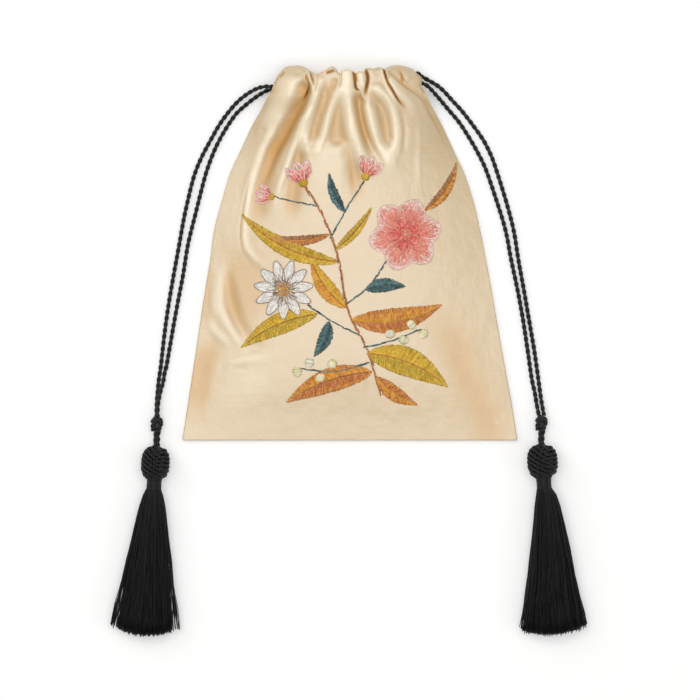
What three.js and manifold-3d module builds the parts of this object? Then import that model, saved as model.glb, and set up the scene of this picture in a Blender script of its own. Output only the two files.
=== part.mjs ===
// A silk drawstring pouch, lying on its back with its mouth drawn in.
//
// Two cloth panels are sewn together along the bottom and the sides. The top of each panel is turned
// over into a tunnel, the casing, and two twisted cords run through both casings from opposite sides.
// Each cord comes out of a side slit as two strands, which are knotted together above a tassel.
//
// Millimetres. +X is the bag's right, +Y points to its mouth, +Z is up, and Z = 0 is the surface that
// the bag lies on. The origin is on that surface, under the middle of the pouch.

import * as THREE from "three";
import { mergeVertices } from "three/addons/utils/BufferGeometryUtils.js";
import Module from "manifold-3d";

const wasm = await Module();
wasm.setup();

// Driving dimensions
const BAG_HEIGHT = 247;
const CLOTH = 1.3;
const CASING_HEIGHT = 21;
const TUNNEL = 4.4;
const CORD = 3;
const FIT_GAP = 0.3;
const STITCH_LINE = BAG_HEIGHT - CASING_HEIGHT;
const CASING_WALL = 2 * CLOTH + TUNNEL;

// The outline from the front: heights above the bottom seam, half widths and the middle's sideways lean.
const OUTLINE = [
  { height: 0, half: 110, lean: 0 },
  { height: 60, half: 100.4, lean: -0.6 },
  { height: 139, half: 87.8, lean: -2 },
  { height: 168, half: 79.9, lean: -2.3 },
  { height: 198, half: 67.3, lean: -2.3 },
  { height: 218, half: 57.4, lean: -2.3 },
  { height: 231, half: 49.8, lean: -2.5 },
  { height: 239, half: 47.5, lean: -1 },
  { height: 247, half: 41.5, lean: -1.5 },
];

// How high the front panel stands over the surface along its middle, at its side edges, and how square
// its cross section is there.
const CROWN = [
  { height: 0, middle: 3.8, edge: 3.8, square: 4 },
  { height: 12, middle: 5.6, edge: 3.8, square: 4 },
  { height: 45, middle: 12, edge: 3.8, square: 2.6 },
  { height: 120, middle: 17.5, edge: 3.8, square: 2.2 },
  { height: 180, middle: 22, edge: 3.8, square: 2.2 },
  { height: 210, middle: 26.5, edge: 3.8, square: 2.6 },
  { height: 218, middle: 27.8, edge: 7, square: 2.8 },
  { height: 226, middle: 29, edge: 14.4, square: 3 },
  { height: 247, middle: 29, edge: 14.4, square: 3 },
];

// The valleys between the front's gathers. Across places run from -1 at the left side to 1 at the right:
// "top" is the place at the casing and "low" where the valley fades out, "reach" below the stitch line.
// "depth" is the valley's, and "wide" and "spread" are its half widths at the casing and where it fades.
const FRONT_FOLDS = [
  { top: -0.88, low: -0.92, reach: 60, depth: 1.2, wide: 3, spread: 5 },
  { top: -0.5, low: -0.7, reach: 120, depth: 5.5, wide: 3.4, spread: 13 },
  { top: -0.38, low: -0.46, reach: 70, depth: 1.6, wide: 2.4, spread: 5 },
  { top: -0.23, low: -0.28, reach: 55, depth: 3.4, wide: 4.4, spread: 7 },
  { top: -0.04, low: -0.1, reach: 70, depth: 3, wide: 2.6, spread: 6 },
  { top: 0.12, low: 0.1, reach: 95, depth: 5, wide: 2.6, spread: 8 },
  { top: 0.26, low: 0.2, reach: 30, depth: 4.4, wide: 2.8, spread: 5 },
  { top: 0.42, low: 0.42, reach: 65, depth: 2.8, wide: 3, spread: 8 },
  { top: 0.57, low: 0.72, reach: 34, depth: 4, wide: 2.2, spread: 3.6 },
  { top: 0.76, low: 0.9, reach: 60, depth: 2.4, wide: 2.6, spread: 4 },
];
const FOLD_ROOM = 4.5;

// The back's gathers are even and shallow, pressed flat by the surface.
const BACK_FOLDS = 8;
const BACK_FOLD_DEPTH = 2.2;
const BACK_FOLD_REACH = 46;
const EDGE_LIFT = 0.9;
const BOTTOM_LIFT_REACH = 12;
const SEAM_TOP = 210;

// How far a valley pulls the casing's top edge down, as a share of its depth.
const TOP_EDGE_PULL = 0.75;

// Heights of the rows of faces on a panel, and how finely each panel is divided across.
const OUTER_ROWS = [0, 4, 12, 26, 48, 76, 104, 130, 152, 170, 184, 196, 206, 214, 221];
const INNER_ROWS = [223, 214, 206, 196, 184, 166, 140, 104, 66, 30, 8, 0];
const BACK_OUTER_ROWS = [0, 4, 12, 60, 120, 180, 198, 212, 221];
const BACK_INNER_ROWS = [223, 212, 198, 180, 120, 60, 12, 4, 0];
const FRONT_COLUMNS = 42;
const BACK_COLUMNS = 24;

// The tunnel's section: places up the casing from its stitch line (0) to its top edge (1), and how far
// the tunnel is open there.
const TUNNEL_SECTION = [
  { up: 0.08, open: 0.3 },
  { up: 0.2, open: 1 },
  { up: 0.5, open: 1 },
  { up: 0.74, open: 1 },
  { up: 0.86, open: 0.4 },
];
const CASING_ROWS = [0.08, 0.3, 0.55, 0.8];
const TOP_FOLD_ROW = 0.93;

// The slit at each side, through which the strands leave both tunnels and a cord turns from one to the
// other.
const SLIT_FROM = 0.76;
const SLIT_STEPS = 5;
const SLIT_HALF_HEIGHT = 8;
const CORD_LINE = STITCH_LINE + 8.6 - BAG_HEIGHT / 2;

// The tassels: distances from the top of the ball knot along the tassel, half widths and heights.
const BALL_LENGTH = 20.2;
const BALL_RADIUS = 9.3;
const BALL_WRAPS = 9;
const BALL_WRAP_HEIGHT = 0.45;
const NECK_LENGTH = 7.2;
const NECK_RADIUS = 4.9;
const NECK_WRAPS = 4;
const NECK_WRAP_HEIGHT = 0.25;
const LOCKS = 11;
const LOCK_POINTS = 4;
const LOCK_GROOVE = 0.16;
const LOCK_RAGGED = 2.4;
const REST_GAP = 0.1;
const TASSEL_TILT = 3.8;
const SKIRT = [
  { along: 0, half: 4.4, rise: 4.4, middle: 9.4 },
  { along: 6, half: 6.7, rise: 6.2, middle: 9.1 },
  { along: 22, half: 9.8, rise: 8.2, middle: 8.4 },
  { along: 48, half: 14, rise: 8.2, middle: 8.4 },
  { along: 76, half: 18.4, rise: 7.8, middle: 8 },
  { along: 95, half: 21, rise: 7.2, middle: 7.4 },
];
const BALL_TOPS = { left: [-127.7, -127.6], right: [125.8, -127.2] };

// The overhand knots above the tassels: lengths along the cord, half widths across it.
const KNOT_LENGTH = 10.6;
const KNOT_RADIUS = 4.5;
const KNOT_WRAP_HEIGHT = 0.7;
const TAIL_GAP = 0.8;
const KNOT_CENTRES = { left: [-127.6, -113.2, 5], right: [126.1, -112.6, 5] };

// The strands' routes from the side slits to the knots, chosen along the surface by hand.
const STRANDS = {
  drawcord_left_outer: [
    [-51.6, 109.6, 10.9], [-55.8, 109.8, 10], [-60.4, 109, 8.4], [-65, 107, 6.4], [-69.6, 104.2, 4.4],
    [-75, 99.8, 2.6], [-80.6, 93.4, 1.7], [-86.8, 84.8, 1.6], [-92.4, 74.9, 1.6], [-97.7, 65, 1.6],
    [-102, 55.1, 1.6], [-105, 45.2, 1.6], [-109.6, 25.4, 1.6], [-113.2, 5.6, 1.6], [-116.8, -14.2, 1.6],
    [-120.2, -34, 1.6], [-123, -54, 1.6], [-125.2, -73.6, 1.6], [-126.7, -84, 1.6], [-127.5, -92, 1.7],
    [-128, -100, 2.3], [-128.1, -107.4, 3.5],
  ],
  drawcord_left_inner: [
    [-51.6, 108.4, 3.5], [-55.4, 107.4, 3.6], [-59.8, 105, 3.2], [-64.8, 101.6, 2.4], [-70, 97.4, 1.8],
    [-75.2, 92.6, 1.6], [-81, 84.6, 1.6], [-86.6, 74.9, 1.6], [-91.2, 65, 1.6], [-94.8, 55.1, 1.6],
    [-97.6, 45.2, 1.6], [-102.6, 25.4, 1.6], [-107.4, 5.6, 1.6], [-110.6, -14.2, 1.6], [-114.4, -34, 1.6],
    [-118, -54, 1.6], [-121.4, -73.6, 1.6], [-122.6, -78, 1.6], [-123.5, -84, 2.3], [-124.6, -88.5, 3.8],
    [-125.8, -93, 4.7], [-126.9, -100, 5.5], [-127.1, -107.4, 6.6],
  ],
  drawcord_right_outer: [
    [46.6, 117, 3.5], [50, 115.2, 3.2], [54, 113, 2.6], [58.2, 110.4, 2], [62.2, 106.8, 1.6],
    [67.2, 101.2, 1.6], [73.3, 94.6, 1.6], [80.6, 85.2, 1.6], [87.8, 74.9, 1.6], [92.8, 65, 1.6],
    [96.4, 55.1, 1.6], [102.6, 35.3, 1.6], [107.8, 15.5, 1.6], [111, -4.3, 1.6], [114.6, -24.1, 1.6],
    [118, -43.9, 1.6], [121.4, -63.7, 1.6], [124.2, -83.5, 1.6], [125.2, -91, 1.8], [126.2, -98, 2.8],
    [127.7, -106.8, 4.6],
  ],
  drawcord_right_inner: [
    [46.6, 112, 10.9], [50.2, 110.4, 10.2], [53.2, 107.8, 9], [56.2, 104.6, 7.2], [59.8, 100.6, 5],
    [65, 94.6, 2.8], [72, 86.4, 1.7], [79.4, 74.9, 1.6], [85, 65, 1.6], [89.6, 55.1, 1.6],
    [96.4, 35.3, 1.6], [102.4, 15.5, 1.6], [106.2, -4.3, 1.6], [110.4, -24.1, 1.6], [114, -43.9, 1.6],
    [117, -63.7, 1.6], [119.9, -83.5, 1.6], [121.6, -91, 1.8], [122.7, -98, 2.8], [124.3, -106.8, 4.6],
  ],
};
const STRAND_STEP = 9;
const CORD_SIDES = 8;

// The cords' hidden runs: each goes from its own side's slit through the front casing, round the far slit
// and back through the back casing. The two cords lie side by side, each on its own line.
const RUN_SPLIT = 1.8;
const RUN_TURN = 42.5;
const RUN_STRAIGHT = 36;
const RUN_POINTS = 9;
const RUN_LEAD = 4;
const RUN_STEPS = 22;
const RUNS = [
  {
    name: "drawcord_left_run",
    side: -1,
    line: -RUN_SPLIT,
    front: "drawcord_left_outer",
    back: "drawcord_left_inner",
  },
  {
    name: "drawcord_right_run",
    side: 1,
    line: RUN_SPLIT,
    front: "drawcord_right_inner",
    back: "drawcord_right_outer",
  },
];

// Finishes
const silk = new THREE.MeshStandardMaterial({ color: 0xdcc096, roughness: 0.42, metalness: 0 });
const blackCord = new THREE.MeshStandardMaterial({ color: 0x131213, roughness: 0.55, metalness: 0 });
const blackThread = new THREE.MeshStandardMaterial({ color: 0x0f0f10, roughness: 0.5, metalness: 0 });

// A value from a table with named columns, on a straight line between its rows.
function fromTable(rows, key, column, at) {
  const last = rows.length - 1;
  if (at <= rows[0][key]) return rows[0][column];
  if (at >= rows[last][key]) return rows[last][column];
  const next = rows.findIndex((row) => row[key] >= at);
  const [a, b] = [rows[next - 1], rows[next]];
  return THREE.MathUtils.lerp(a[column], b[column], (at - a[key]) / (b[key] - a[key]));
}

// A closed solid of rings that all have the same number of points. A ring may come with the ring of a
// hole that runs through the solid beside it.
function solidOfRings(rings, holes = null) {
  const points = [];
  const faces = [];
  const skin = (loops, inward) => {
    const start = points.length;
    const count = loops[0].length;
    loops.forEach((loop) => points.push(...loop));
    for (let row = 0; row + 1 < loops.length; row += 1) {
      for (let i = 0; i < count; i += 1) {
        const a = start + row * count + i;
        const b = start + row * count + ((i + 1) % count);
        const quad = [a, b, b + count, a, b + count, a + count];
        faces.push(...(inward ? quad.reverse() : quad));
      }
    }
    return start;
  };
  const outer = skin(rings, false);
  const inner = holes ? skin(holes, true) : 0;
  [0, rings.length - 1].forEach((end) => {
    const flat = (p) => new THREE.Vector2(p.dot(capAxes.across), p.dot(capAxes.up));
    const capAxes = axesOf(rings[end]);
    const contour = rings[end].map(flat);
    const hole = holes ? [holes[end].map(flat)] : [];
    const lookUp = (i) =>
      i < contour.length
        ? outer + end * contour.length + i
        : inner + end * hole[0].length + (i - contour.length);
    const clockwise = THREE.ShapeUtils.isClockWise(contour);
    THREE.ShapeUtils.triangulateShape(contour, hole).forEach((triangle) => {
      const face = triangle.map(lookUp);
      faces.push(...((end === 0) === clockwise ? face : face.reverse()));
    });
  });
  const geometry = new THREE.BufferGeometry();
  geometry.setAttribute(
    "position",
    new THREE.Float32BufferAttribute(points.flatMap((p) => [p.x, p.y, p.z]), 3),
  );
  geometry.setIndex(faces);
  return facingOut(geometry);
}

// Two directions in the plane of a ring of points.
function axesOf(ring) {
  const normal = new THREE.Vector3();
  ring.forEach((p, i) => normal.add(new THREE.Vector3().crossVectors(p, ring[(i + 1) % ring.length])));
  normal.normalize();
  const across = new THREE.Vector3().subVectors(ring[1], ring[0]);
  across.addScaledVector(normal, -across.dot(normal)).normalize();
  return { across, up: new THREE.Vector3().crossVectors(normal, across) };
}

// The geometry with its faces turned outwards.
function facingOut(geometry) {
  const position = geometry.getAttribute("position");
  const index = geometry.getIndex().array;
  const [a, b, c] = [0, 1, 2].map(() => new THREE.Vector3());
  let volume = 0;
  for (let i = 0; i < index.length; i += 3) {
    [a, b, c].forEach((v, k) => v.fromBufferAttribute(position, index[i + k]));
    volume += a.dot(b.cross(c));
  }
  if (volume < 0) geometry.setIndex(Array.from(index).reverse());
  return geometry;
}

function toManifold(geometry) {
  const bare = new THREE.BufferGeometry();
  bare.setAttribute("position", geometry.getAttribute("position"));
  bare.setIndex(geometry.getIndex());
  const merged = mergeVertices(bare, 1e-4);
  return new wasm.Manifold(
    new wasm.Mesh({
      numProp: 3,
      vertProperties: merged.getAttribute("position").array,
      triVerts: new Uint32Array(merged.getIndex().array),
    }),
  );
}

function toGeometry(manifold) {
  const mesh = manifold.getMesh();
  const geometry = new THREE.BufferGeometry();
  geometry.setAttribute("position", new THREE.BufferAttribute(mesh.vertProperties, mesh.numProp));
  geometry.setIndex(new THREE.BufferAttribute(mesh.triVerts, 1));
  return geometry;
}

// The cloth panels

// How far the front's gathers lower it at a place across and a height, never more than the fold room.
function frontFold(across, height) {
  const half = fromTable(OUTLINE, "height", "half", height);
  const below = Math.max(0, STITCH_LINE - height);
  const sunk = FRONT_FOLDS.reduce((sum, fold) => {
    const fade = 1 - THREE.MathUtils.smoothstep(below, 0.1 * fold.reach, fold.reach);
    const down = Math.min(1, below / fold.reach);
    const place = THREE.MathUtils.lerp(fold.top, fold.low, down);
    const width = THREE.MathUtils.lerp(fold.wide, fold.spread, down);
    const off = ((across - place) * half) / width;
    return sum + fold.depth * fade * Math.exp(-off * off);
  }, 0);
  return -FOLD_ROOM * Math.tanh(sunk / FOLD_ROOM);
}

function frontOutside(across, height) {
  const middle = fromTable(CROWN, "height", "middle", height);
  const edge = fromTable(CROWN, "height", "edge", height);
  const square = fromTable(CROWN, "height", "square", height);
  const dome = 1 - Math.abs(across) ** square;
  return edge + (middle - edge) * dome + frontFold(across, height) * foldShare(across);
}

// Folds die away towards the side seams.
function foldShare(across) {
  return 1 - across ** 8;
}

// The back lies on the surface and lifts a little at its seams and under its gathers.
function backOutside(across, height) {
  const side = across ** 12 * (1 - THREE.MathUtils.smoothstep(height, SEAM_TOP, STITCH_LINE));
  const bottom = 1 - THREE.MathUtils.smoothstep(height, 0, BOTTOM_LIFT_REACH);
  const below = Math.max(0, STITCH_LINE - height);
  const fade = 1 - THREE.MathUtils.smoothstep(below, 0, BACK_FOLD_REACH);
  const gather = 0.5 - 0.5 * Math.cos(Math.PI * BACK_FOLDS * (across + 1));
  return EDGE_LIFT * Math.max(side, bottom) + BACK_FOLD_DEPTH * fade * gather * foldShare(across);
}

// One panel with its casing, from its outside surface, a way inwards (-1 down, 1 up) and the room that
// its folds take from the casing.
function panel(outside, inwards, room, outerRows, innerRows, columns) {
  const place = (across, height, z) => {
    const half = fromTable(OUTLINE, "height", "half", height);
    const lean = fromTable(OUTLINE, "height", "lean", height);
    return new THREE.Vector3(lean + across * half, height - BAG_HEIGHT / 2, z);
  };
  const rings = [];
  const tunnels = [];
  for (let column = 0; column <= columns; column += 1) {
    const across = -1 + (2 * column) / columns;
    const pulled = TOP_EDGE_PULL * Math.abs(room.depthAt(across));
    const heightAt = (up) => STITCH_LINE + up * (CASING_HEIGHT - pulled);
    const flap = (up) => room.smooth(across, heightAt(up)) + inwards * (CASING_WALL + room.most(across));
    const ring = outerRows.map((height) => place(across, height, outside(across, height)));
    CASING_ROWS.forEach((up) => ring.push(place(across, heightAt(up), outside(across, heightAt(up)))));
    const [top, turn] = [heightAt(1), heightAt(TOP_FOLD_ROW)];
    const topOutside = outside(across, turn);
    const topFlap = flap(TOP_FOLD_ROW);
    ring.push(place(across, turn, THREE.MathUtils.lerp(topOutside, topFlap, 0.08)));
    ring.push(place(across, top, THREE.MathUtils.lerp(topOutside, topFlap, 0.35)));
    ring.push(place(across, top, THREE.MathUtils.lerp(topOutside, topFlap, 0.65)));
    ring.push(place(across, turn, THREE.MathUtils.lerp(topOutside, topFlap, 0.92)));
    [...CASING_ROWS].reverse().forEach((up) => ring.push(place(across, heightAt(up), flap(up))));
    innerRows.forEach((height) => {
      ring.push(place(across, height, outside(across, height) + inwards * CLOTH));
    });
    rings.push(ring);
    const near = TUNNEL_SECTION.map(({ up, open }) => {
      const wall = outside(across, heightAt(up)) + inwards * CLOTH;
      const far = flap(up) - inwards * CLOTH;
      const middle = (wall + far) / 2;
      const half = ((far - wall) / 2) * open;
      const at = (z) => place(across, heightAt(up), z);
      return { low: at(middle - half), high: at(middle + half) };
    });
    tunnels.push([...near.map((p) => p.low), ...near.reverse().map((p) => p.high)]);
  }
  return solidOfRings(rings, tunnels);
}

// The middles of the two tunnels on the cord line.
function frontTunnel(across) {
  const height = CORD_LINE + BAG_HEIGHT / 2;
  const smooth = frontOutside(across, height) - frontFold(across, height) * foldShare(across);
  return smooth - FOLD_ROOM * foldShare(across) - CASING_WALL / 2;
}

function backTunnel(across) {
  return CASING_WALL / 2 + BACK_FOLD_DEPTH * foldShare(across);
}

// A side slit: what is cut out of a casing's end between the two tunnels.
function slitCutter(side) {
  const half = fromTable(OUTLINE, "height", "half", STITCH_LINE);
  const lean = fromTable(OUTLINE, "height", "lean", STITCH_LINE);
  const rings = [];
  for (let step = 0; step <= SLIT_STEPS; step += 1) {
    const across = SLIT_FROM + (1.1 - SLIT_FROM) * (step / SLIT_STEPS);
    const x = lean + side * across * half;
    const [low, high] = [backTunnel(Math.min(1, across)), frontTunnel(Math.min(1, across))];
    const [near, far] = [CORD_LINE - SLIT_HALF_HEIGHT, CORD_LINE + SLIT_HALF_HEIGHT];
    const corners = [[near, low], [far, low], [far, high], [near, high]];
    rings.push(corners.map(([y, z]) => new THREE.Vector3(x, y, z)));
  }
  return toManifold(solidOfRings(rings));
}

function frontPanel() {
  const smooth = (across, height) =>
    frontOutside(across, height) - frontFold(across, height) * foldShare(across);
  const room = {
    depthAt: (across) => frontFold(across, BAG_HEIGHT) * foldShare(across),
    most: (across) => FOLD_ROOM * foldShare(across),
    smooth,
  };
  return panel(frontOutside, -1, room, OUTER_ROWS, INNER_ROWS, FRONT_COLUMNS);
}

function backPanel() {
  const room = {
    depthAt: () => 0,
    most: (across) => BACK_FOLD_DEPTH * foldShare(across),
    smooth: () => 0,
  };
  return panel(backOutside, 1, room, BACK_OUTER_ROWS, BACK_INNER_ROWS, BACK_COLUMNS);
}

// Cords

// A round tube along a list of points, with flat ends.
function cordAlong(points, steps) {
  const route = new THREE.CatmullRomCurve3(points, false, "centripetal");
  const section = new THREE.Shape();
  for (let side = 0; side < CORD_SIDES; side += 1) {
    const angle = (2 * Math.PI * side) / CORD_SIDES;
    const corner = [(CORD / 2) * Math.cos(angle), (CORD / 2) * Math.sin(angle)];
    if (side === 0) section.moveTo(...corner);
    else section.lineTo(...corner);
  }
  section.closePath();
  return new THREE.ExtrudeGeometry(section, { steps, extrudePath: route, curveSegments: 1 });
}

function strand(route) {
  const points = route.map((p) => new THREE.Vector3(...p));
  const length = new THREE.CatmullRomCurve3(points, false, "centripetal").getLength();
  return cordAlong(points, Math.round(length / STRAND_STEP));
}

// A cord's hidden run, which starts and ends at the slit on its own side.
function run({ side, line, front, back }) {
  const half = fromTable(OUTLINE, "height", "half", CORD_LINE + BAG_HEIGHT / 2);
  const lean = fromTable(OUTLINE, "height", "lean", CORD_LINE + BAG_HEIGHT / 2);
  const y = CORD_LINE + line;
  const backFrom = (name, distance) => {
    const [first, second] = STRANDS[name].map((p) => new THREE.Vector3(...p));
    return first.addScaledVector(second.sub(first).normalize(), -distance);
  };
  const channel = (tunnel) => {
    const points = [];
    for (let step = 0; step <= RUN_POINTS; step += 1) {
      const x = THREE.MathUtils.lerp(RUN_STRAIGHT, -RUN_STRAIGHT, step / RUN_POINTS);
      points.push(new THREE.Vector3(lean + side * x, y, tunnel((side * x) / half)));
    }
    return points;
  };
  const high = frontTunnel(RUN_TURN / half);
  const low = backTunnel(RUN_TURN / half);
  const turn = [0.5, 0.25, 0, -0.25, -0.5].map((bend) => {
    const x = RUN_TURN + ((high - low) / 2) * Math.cos(Math.PI * bend);
    const z = (high + low) / 2 + ((high - low) / 2) * Math.sin(Math.PI * bend);
    return new THREE.Vector3(lean - side * x, y, z);
  });
  const points = [
    ...[FIT_GAP, RUN_LEAD].map((distance) => backFrom(front, distance)),
    ...channel(frontTunnel),
    ...turn,
    ...channel(backTunnel).reverse(),
    ...[RUN_LEAD, FIT_GAP].map((distance) => backFrom(back, distance)),
  ];
  return cordAlong(points, RUN_STEPS);
}

// Knots and tassels

// A solid of revolution-like rings along -Y from the origin, with a half width and a height for each place.
function woundSolid(length, rows, sides, radiusAt) {
  const rings = [];
  for (let row = 0; row <= rows; row += 1) {
    const along = row / rows;
    const ring = [];
    for (let side = 0; side < sides; side += 1) {
      const angle = (2 * Math.PI * side) / sides;
      const radius = radiusAt(along, angle);
      ring.push(new THREE.Vector3(radius * Math.cos(angle), -along * length, radius * Math.sin(angle)));
    }
    rings.push(ring);
  }
  return solidOfRings(rings);
}

// The ball knot: an egg of cord wound on the slant.
function ballKnot() {
  const pole = 0.34;
  return woundSolid(BALL_LENGTH, 9, 18, (along, angle) => {
    const egg = Math.sin(Math.PI * (0.06 + 0.86 * along)) ** 0.5;
    const wrap = Math.sin(2 * angle + BALL_WRAPS * Math.PI * along) * BALL_WRAP_HEIGHT;
    return Math.max(pole * BALL_RADIUS, egg * (BALL_RADIUS - BALL_WRAP_HEIGHT)) + wrap;
  });
}

// The neck: thread bound round the top of the skirt.
function neckBinding() {
  return woundSolid(NECK_LENGTH, 2 * NECK_WRAPS, 12, (along) => {
    const wrap = NECK_WRAP_HEIGHT * Math.cos(2 * Math.PI * NECK_WRAPS * along);
    return NECK_RADIUS - NECK_WRAP_HEIGHT + wrap;
  });
}

// The skirt: locks of thread fanned out from the neck and flattened by the surface, with ragged ends.
function skirt() {
  const sides = LOCKS * LOCK_POINTS;
  const rings = SKIRT.map(({ along, half, rise, middle }, row) => {
    const ring = [];
    const groove = row === 0 ? 0 : LOCK_GROOVE;
    for (let side = 0; side < sides; side += 1) {
      const angle = (2 * Math.PI * side) / sides;
      const lock = Math.floor(side / LOCK_POINTS);
      const within = (side % LOCK_POINTS) / LOCK_POINTS;
      const share = 1 - groove * (1 - Math.sin(Math.PI * within)) ** 2;
      const ragged = row === SKIRT.length - 1 ? LOCK_RAGGED * Math.sin(2.4 * lock) : 0;
      const x = half * share * Math.cos(angle);
      const z = Math.max(REST_GAP, middle + rise * share * Math.sin(angle));
      ring.push(new THREE.Vector3(x, -(along + ragged), z));
    }
    return ring;
  });
  return solidOfRings(rings);
}

// The overhand knot that ties two strands, with the tails that go on into the ball knot.
function overhandKnot(centre, ballTop) {
  const body = woundSolid(KNOT_LENGTH, 6, 12, (along, angle) => {
    const barrel = 0.72 + 0.28 * Math.sin(Math.PI * along);
    const wrap = KNOT_WRAP_HEIGHT * Math.sin(angle + 3 * Math.PI * along);
    return barrel * (KNOT_RADIUS - KNOT_WRAP_HEIGHT) + wrap;
  });
  const [x, y, z] = centre;
  body.translate(x, y + KNOT_LENGTH / 2, z);
  const tails = [-1, 1].map((side) => {
    const from = new THREE.Vector3(x + side * 1.2, y - KNOT_LENGTH / 2 + 2, z);
    const to = new THREE.Vector3(ballTop.x + side * 1.2, ballTop.y + TAIL_GAP, ballTop.z);
    const between = new THREE.Vector3(from.x, (from.y + to.y) / 2 + 0.5, (from.z + to.z) / 2 - 0.4);
    return toManifold(cordAlongIndexed([from, between, to]));
  });
  return toGeometry(toManifold(body).add(tails[0]).add(tails[1]));
}

// A tube whose shared points are merged, ready to be joined to another solid.
function cordAlongIndexed(points) {
  const tube = cordAlong(points, 3);
  tube.deleteAttribute("normal");
  tube.deleteAttribute("uv");
  return mergeVertices(tube, 1e-4);
}

// Assembly
const bag = new THREE.Group();

function addPiece(parent, name, geometry, material) {
  const mesh = new THREE.Mesh(geometry, material);
  mesh.name = name;
  parent.add(mesh);
  return mesh;
}

const slits = slitCutter(-1).add(slitCutter(1));
addPiece(bag, "front_panel", toGeometry(toManifold(frontPanel()).subtract(slits)), silk);
addPiece(bag, "back_panel", toGeometry(toManifold(backPanel()).subtract(slits)), silk);

RUNS.forEach((cord) => addPiece(bag, cord.name, run(cord), blackCord));
Object.entries(STRANDS).forEach(([name, route]) => addPiece(bag, name, strand(route), blackCord));

["left", "right"].forEach((side) => {
  const [x, y] = BALL_TOPS[side];
  const ballTop = new THREE.Vector3(x, y, BALL_RADIUS + REST_GAP);
  addPiece(bag, `cord_knot_${side}`, overhandKnot(KNOT_CENTRES[side], ballTop), blackCord);

  const tassel = new THREE.Group();
  tassel.position.set(x, y, 0);
  tassel.rotation.z = THREE.MathUtils.degToRad(side === "left" ? -TASSEL_TILT : TASSEL_TILT);
  bag.add(tassel);
  addPiece(tassel, `tassel_${side}_ball`, ballKnot(), blackCord).position.z = ballTop.z;
  const neck = addPiece(tassel, `tassel_${side}_neck`, neckBinding(), blackThread);
  neck.position.set(0, -(BALL_LENGTH + FIT_GAP), ballTop.z);
  const threads = addPiece(tassel, `tassel_${side}_skirt`, skirt(), blackThread);
  threads.position.y = -(BALL_LENGTH + NECK_LENGTH + 2 * FIT_GAP);
});

export default bag;
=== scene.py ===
# %% [markdown]
# # A silk drawstring pouch with tasselled cords
#
# The pouch lies on its back on a pale table and is seen from straight above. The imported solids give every
# piece its place and size, so this lesson starts by loading them, and then dresses each one with cloth, cord
# and thread.

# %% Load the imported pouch
import math
import random
from collections import namedtuple

import bmesh
import bpy
import numpy as np
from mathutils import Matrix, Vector


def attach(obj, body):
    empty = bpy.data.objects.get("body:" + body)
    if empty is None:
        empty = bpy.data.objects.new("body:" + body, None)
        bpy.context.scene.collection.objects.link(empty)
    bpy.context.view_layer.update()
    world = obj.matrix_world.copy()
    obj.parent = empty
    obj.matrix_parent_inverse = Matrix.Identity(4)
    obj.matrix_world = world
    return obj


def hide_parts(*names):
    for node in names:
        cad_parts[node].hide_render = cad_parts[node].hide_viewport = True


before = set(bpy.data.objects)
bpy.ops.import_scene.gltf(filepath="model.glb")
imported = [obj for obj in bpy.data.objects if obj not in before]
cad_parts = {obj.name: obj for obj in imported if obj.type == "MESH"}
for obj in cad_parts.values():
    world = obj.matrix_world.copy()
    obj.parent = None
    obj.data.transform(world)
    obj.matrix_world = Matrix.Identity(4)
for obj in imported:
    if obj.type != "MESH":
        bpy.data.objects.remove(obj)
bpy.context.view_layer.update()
MM = 0.001
print("loaded", len(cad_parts), "solids")

# %% [markdown]
# ## The camera
#
# The photograph is a flat lay, so the camera looks straight down. A long lens keeps the raised mouth from
# looking larger than the flat bottom. The width of the view is measured a little above the table, where the
# cloth lies.

# %% Camera
LENS = 180
SENSOR = 36
VIEW_WIDTH = 0.462
VIEW_MIDDLE = (-0.0003, -0.0637)
VIEW_LEVEL = 0.004
camera = bpy.data.objects.new("camera", bpy.data.cameras.new("camera"))
camera.data.lens = LENS
camera.data.sensor_width = SENSOR
camera.location = (*VIEW_MIDDLE, VIEW_WIDTH * LENS / SENSOR + VIEW_LEVEL)
bpy.context.collection.objects.link(camera)
bpy.context.scene.camera = camera
print("camera height", round(camera.location.z, 3), "m")

# %% [markdown]
# ## Finishes as expressions
#
# A finish is a small network of nodes. Writing it as arithmetic keeps it readable: a Signal stands for one
# socket, and adding or multiplying signals adds the Math nodes. Everything else comes from one method that
# adds any node.


# %% Signals and finishes
class Signal:
    """One output socket of a finish, with Python's arithmetic."""

    def __init__(self, finish, socket):
        self.finish = finish
        self.socket = socket

    def maths(self, operation, first, second):
        return self.finish.add("ShaderNodeMath", {"operation": operation}, {0: first, 1: second})

    def __add__(self, other):
        return self.maths("ADD", self, other)

    def __radd__(self, other):
        return self.maths("ADD", other, self)

    def __sub__(self, other):
        return self.maths("SUBTRACT", self, other)

    def __rsub__(self, other):
        return self.maths("SUBTRACT", other, self)

    def __mul__(self, other):
        return self.maths("MULTIPLY", self, other)

    def __rmul__(self, other):
        return self.maths("MULTIPLY", other, self)

    def out(self, name):
        return Signal(self.finish, self.socket.node.outputs[name])


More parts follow.
